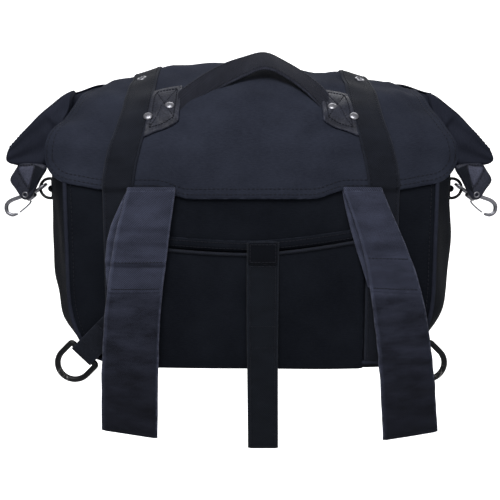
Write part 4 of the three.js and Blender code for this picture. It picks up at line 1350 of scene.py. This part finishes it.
SHEETS = {  # a sheet's flat width and length in metres, how it is held, what it rests on and what is sewn to it
    "lid_cloth": (0.41, (FLAP_END - HEM_Z) * MM, "laid", ["body_shell", "top_roll_cloth"],
                  ["lid_edge_stitches", "lid_hem_stitches"]),
    "handle_band": (0.037, 0.2, "hung", ["handle_patch_leather_right", "handle_patch_leather_left"],
                    ["handle_stitches"]),
    "pocket_cloth": (0.228, 0.117, "stretched", ["body_shell"], ["pocket_binding", "pocket_stitches"]),
    "rack_strap_left_band": (0.052, 0.262, "hung", ["lid_cloth"], ["rack_strap_left_stitches"]),
    "rack_strap_right_band": (0.049, 0.262, "hung", ["lid_cloth"], ["rack_strap_right_stitches"]),
    "rack_strap_left_lining": (0.049, 0.105, "hung", ["lid_cloth"], []),
    "rack_strap_right_lining": (0.042, 0.105, "hung", ["lid_cloth"], []),
    "centre_strap_band": (0.03, 0.213, "hung", ["pocket_cloth"], ["centre_loop_patch", "centre_strap_stitches"]),
}


def declare_sheets():
    for name, (width, length, held, rests_on, sewn) in SHEETS.items():
        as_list(rests_on)
        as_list(sewn)


# Camera, light and floor -----------------------------------------------------------------------------


def light(name, size, power, at, aim, colour=(1, 1, 1)):
    lamp = bpy.data.lights.new(name, "AREA")
    lamp.shape, lamp.size, lamp.energy, lamp.color = "DISK", size, power, colour
    made = bpy.data.objects.new(name, lamp)
    made.location = at
    made.rotation_euler = (Vector(aim) - Vector(at)).to_track_quat("-Z", "Y").to_euler()
    bpy.context.scene.collection.objects.link(made)


def build_stage():
    scene = bpy.context.scene
    lens = bpy.data.cameras.new("camera")
    lens.lens, lens.sensor_width = 51.84, 36
    camera = bpy.data.objects.new("camera", lens)
    camera.location = (-0.001, -0.713, 0.0722)
    camera.rotation_euler = (math.radians(82), 0, 0)
    scene.collection.objects.link(camera)
    scene.camera = camera
    scene.view_settings.view_transform = "Standard"
    world = bpy.data.worlds.new("studio")
    scene.world = world
    world.use_nodes = True
    back = world.node_tree.nodes["Background"]
    back.inputs["Color"].default_value = (0.96, 0.97, 1, 1)
    back.inputs["Strength"].default_value = 0.30
    paper = Finish("pale_paper_glowing_behind", Specular_IOR_Level=0.1, Emission_Strength=1.0)
    speck = paper.noise(paper.place(), 6, 2.0)
    x, y = (Wire(paper, socket) for socket in
            paper.node("ShaderNodeSeparateXYZ", {}, {0: paper.place()}).socket.node.outputs[:2])
    # Painted light: the paper glows from half a metre behind the bag, in a wedge that widens further back, and this
    # glow lights the bag from behind in place of a lamp.
    glow = paper.blend(y.step(0.5, 1.5) * (1 - (x.size() / (y + 1.6)).step(0.5, 0.8)), (0, 0, 0), (1, 1, 1))
    paper.tree.links.new(glow.socket, paper.shader.inputs["Emission Color"])
    paper.wears(paper.blend(speck, (0.86, 0.86, 0.86), (0.9, 0.9, 0.9)), 0.8 + speck * 0.1)
    rise = np.linspace(0, math.pi / 2, 13)
    line = np.concatenate([[(-9, 0)], np.stack([2.5 + 1.5 * np.sin(rise), 1.5 - 1.5 * np.cos(rise)], -1), [(4, 7)]])
    sweep = Form()
    across = np.linspace(-9, 9, 5)
    sweep.quads(sweep.add(xyz(across, line[:, :1], line[:, 1:] - 0.8) / MM), np.zeros((len(line), 5, 2)))
    mesh = sweep.mesh("paper_sweep")
    mesh.materials.append(paper.material)
    ground = bpy.data.objects.new("paper_sweep", mesh)
    scene.collection.objects.link(ground)
    light("key", 0.55, 7.5, (-0.12, -0.62, 0.72), (0, 0.02, 0.02))
    light("fill", 1.0, 2.5, (0.9, -1.3, 0.5), (0, 0, 0))
    light("rear", 1.2, 9, (0.2, 1.5, 1.2), (0, 0.1, 0.05))


build_stage()
build_body()
build_piping()
build_lid()
build_webbings()
build_lid_metal()
build_patches()
build_handle()
build_pocket()
build_rack_straps()
build_centre_strap()
build_rolled_top()
build_ears()
build_tabs()
build_side_rings()
build_hooks()
build_corner_rings()
build_closure()
declare_sheets()
for board in ("back_board", "base_board"):
    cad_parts[board].material_slots[0].material = BOARD

bpy.context.view_layer.update()
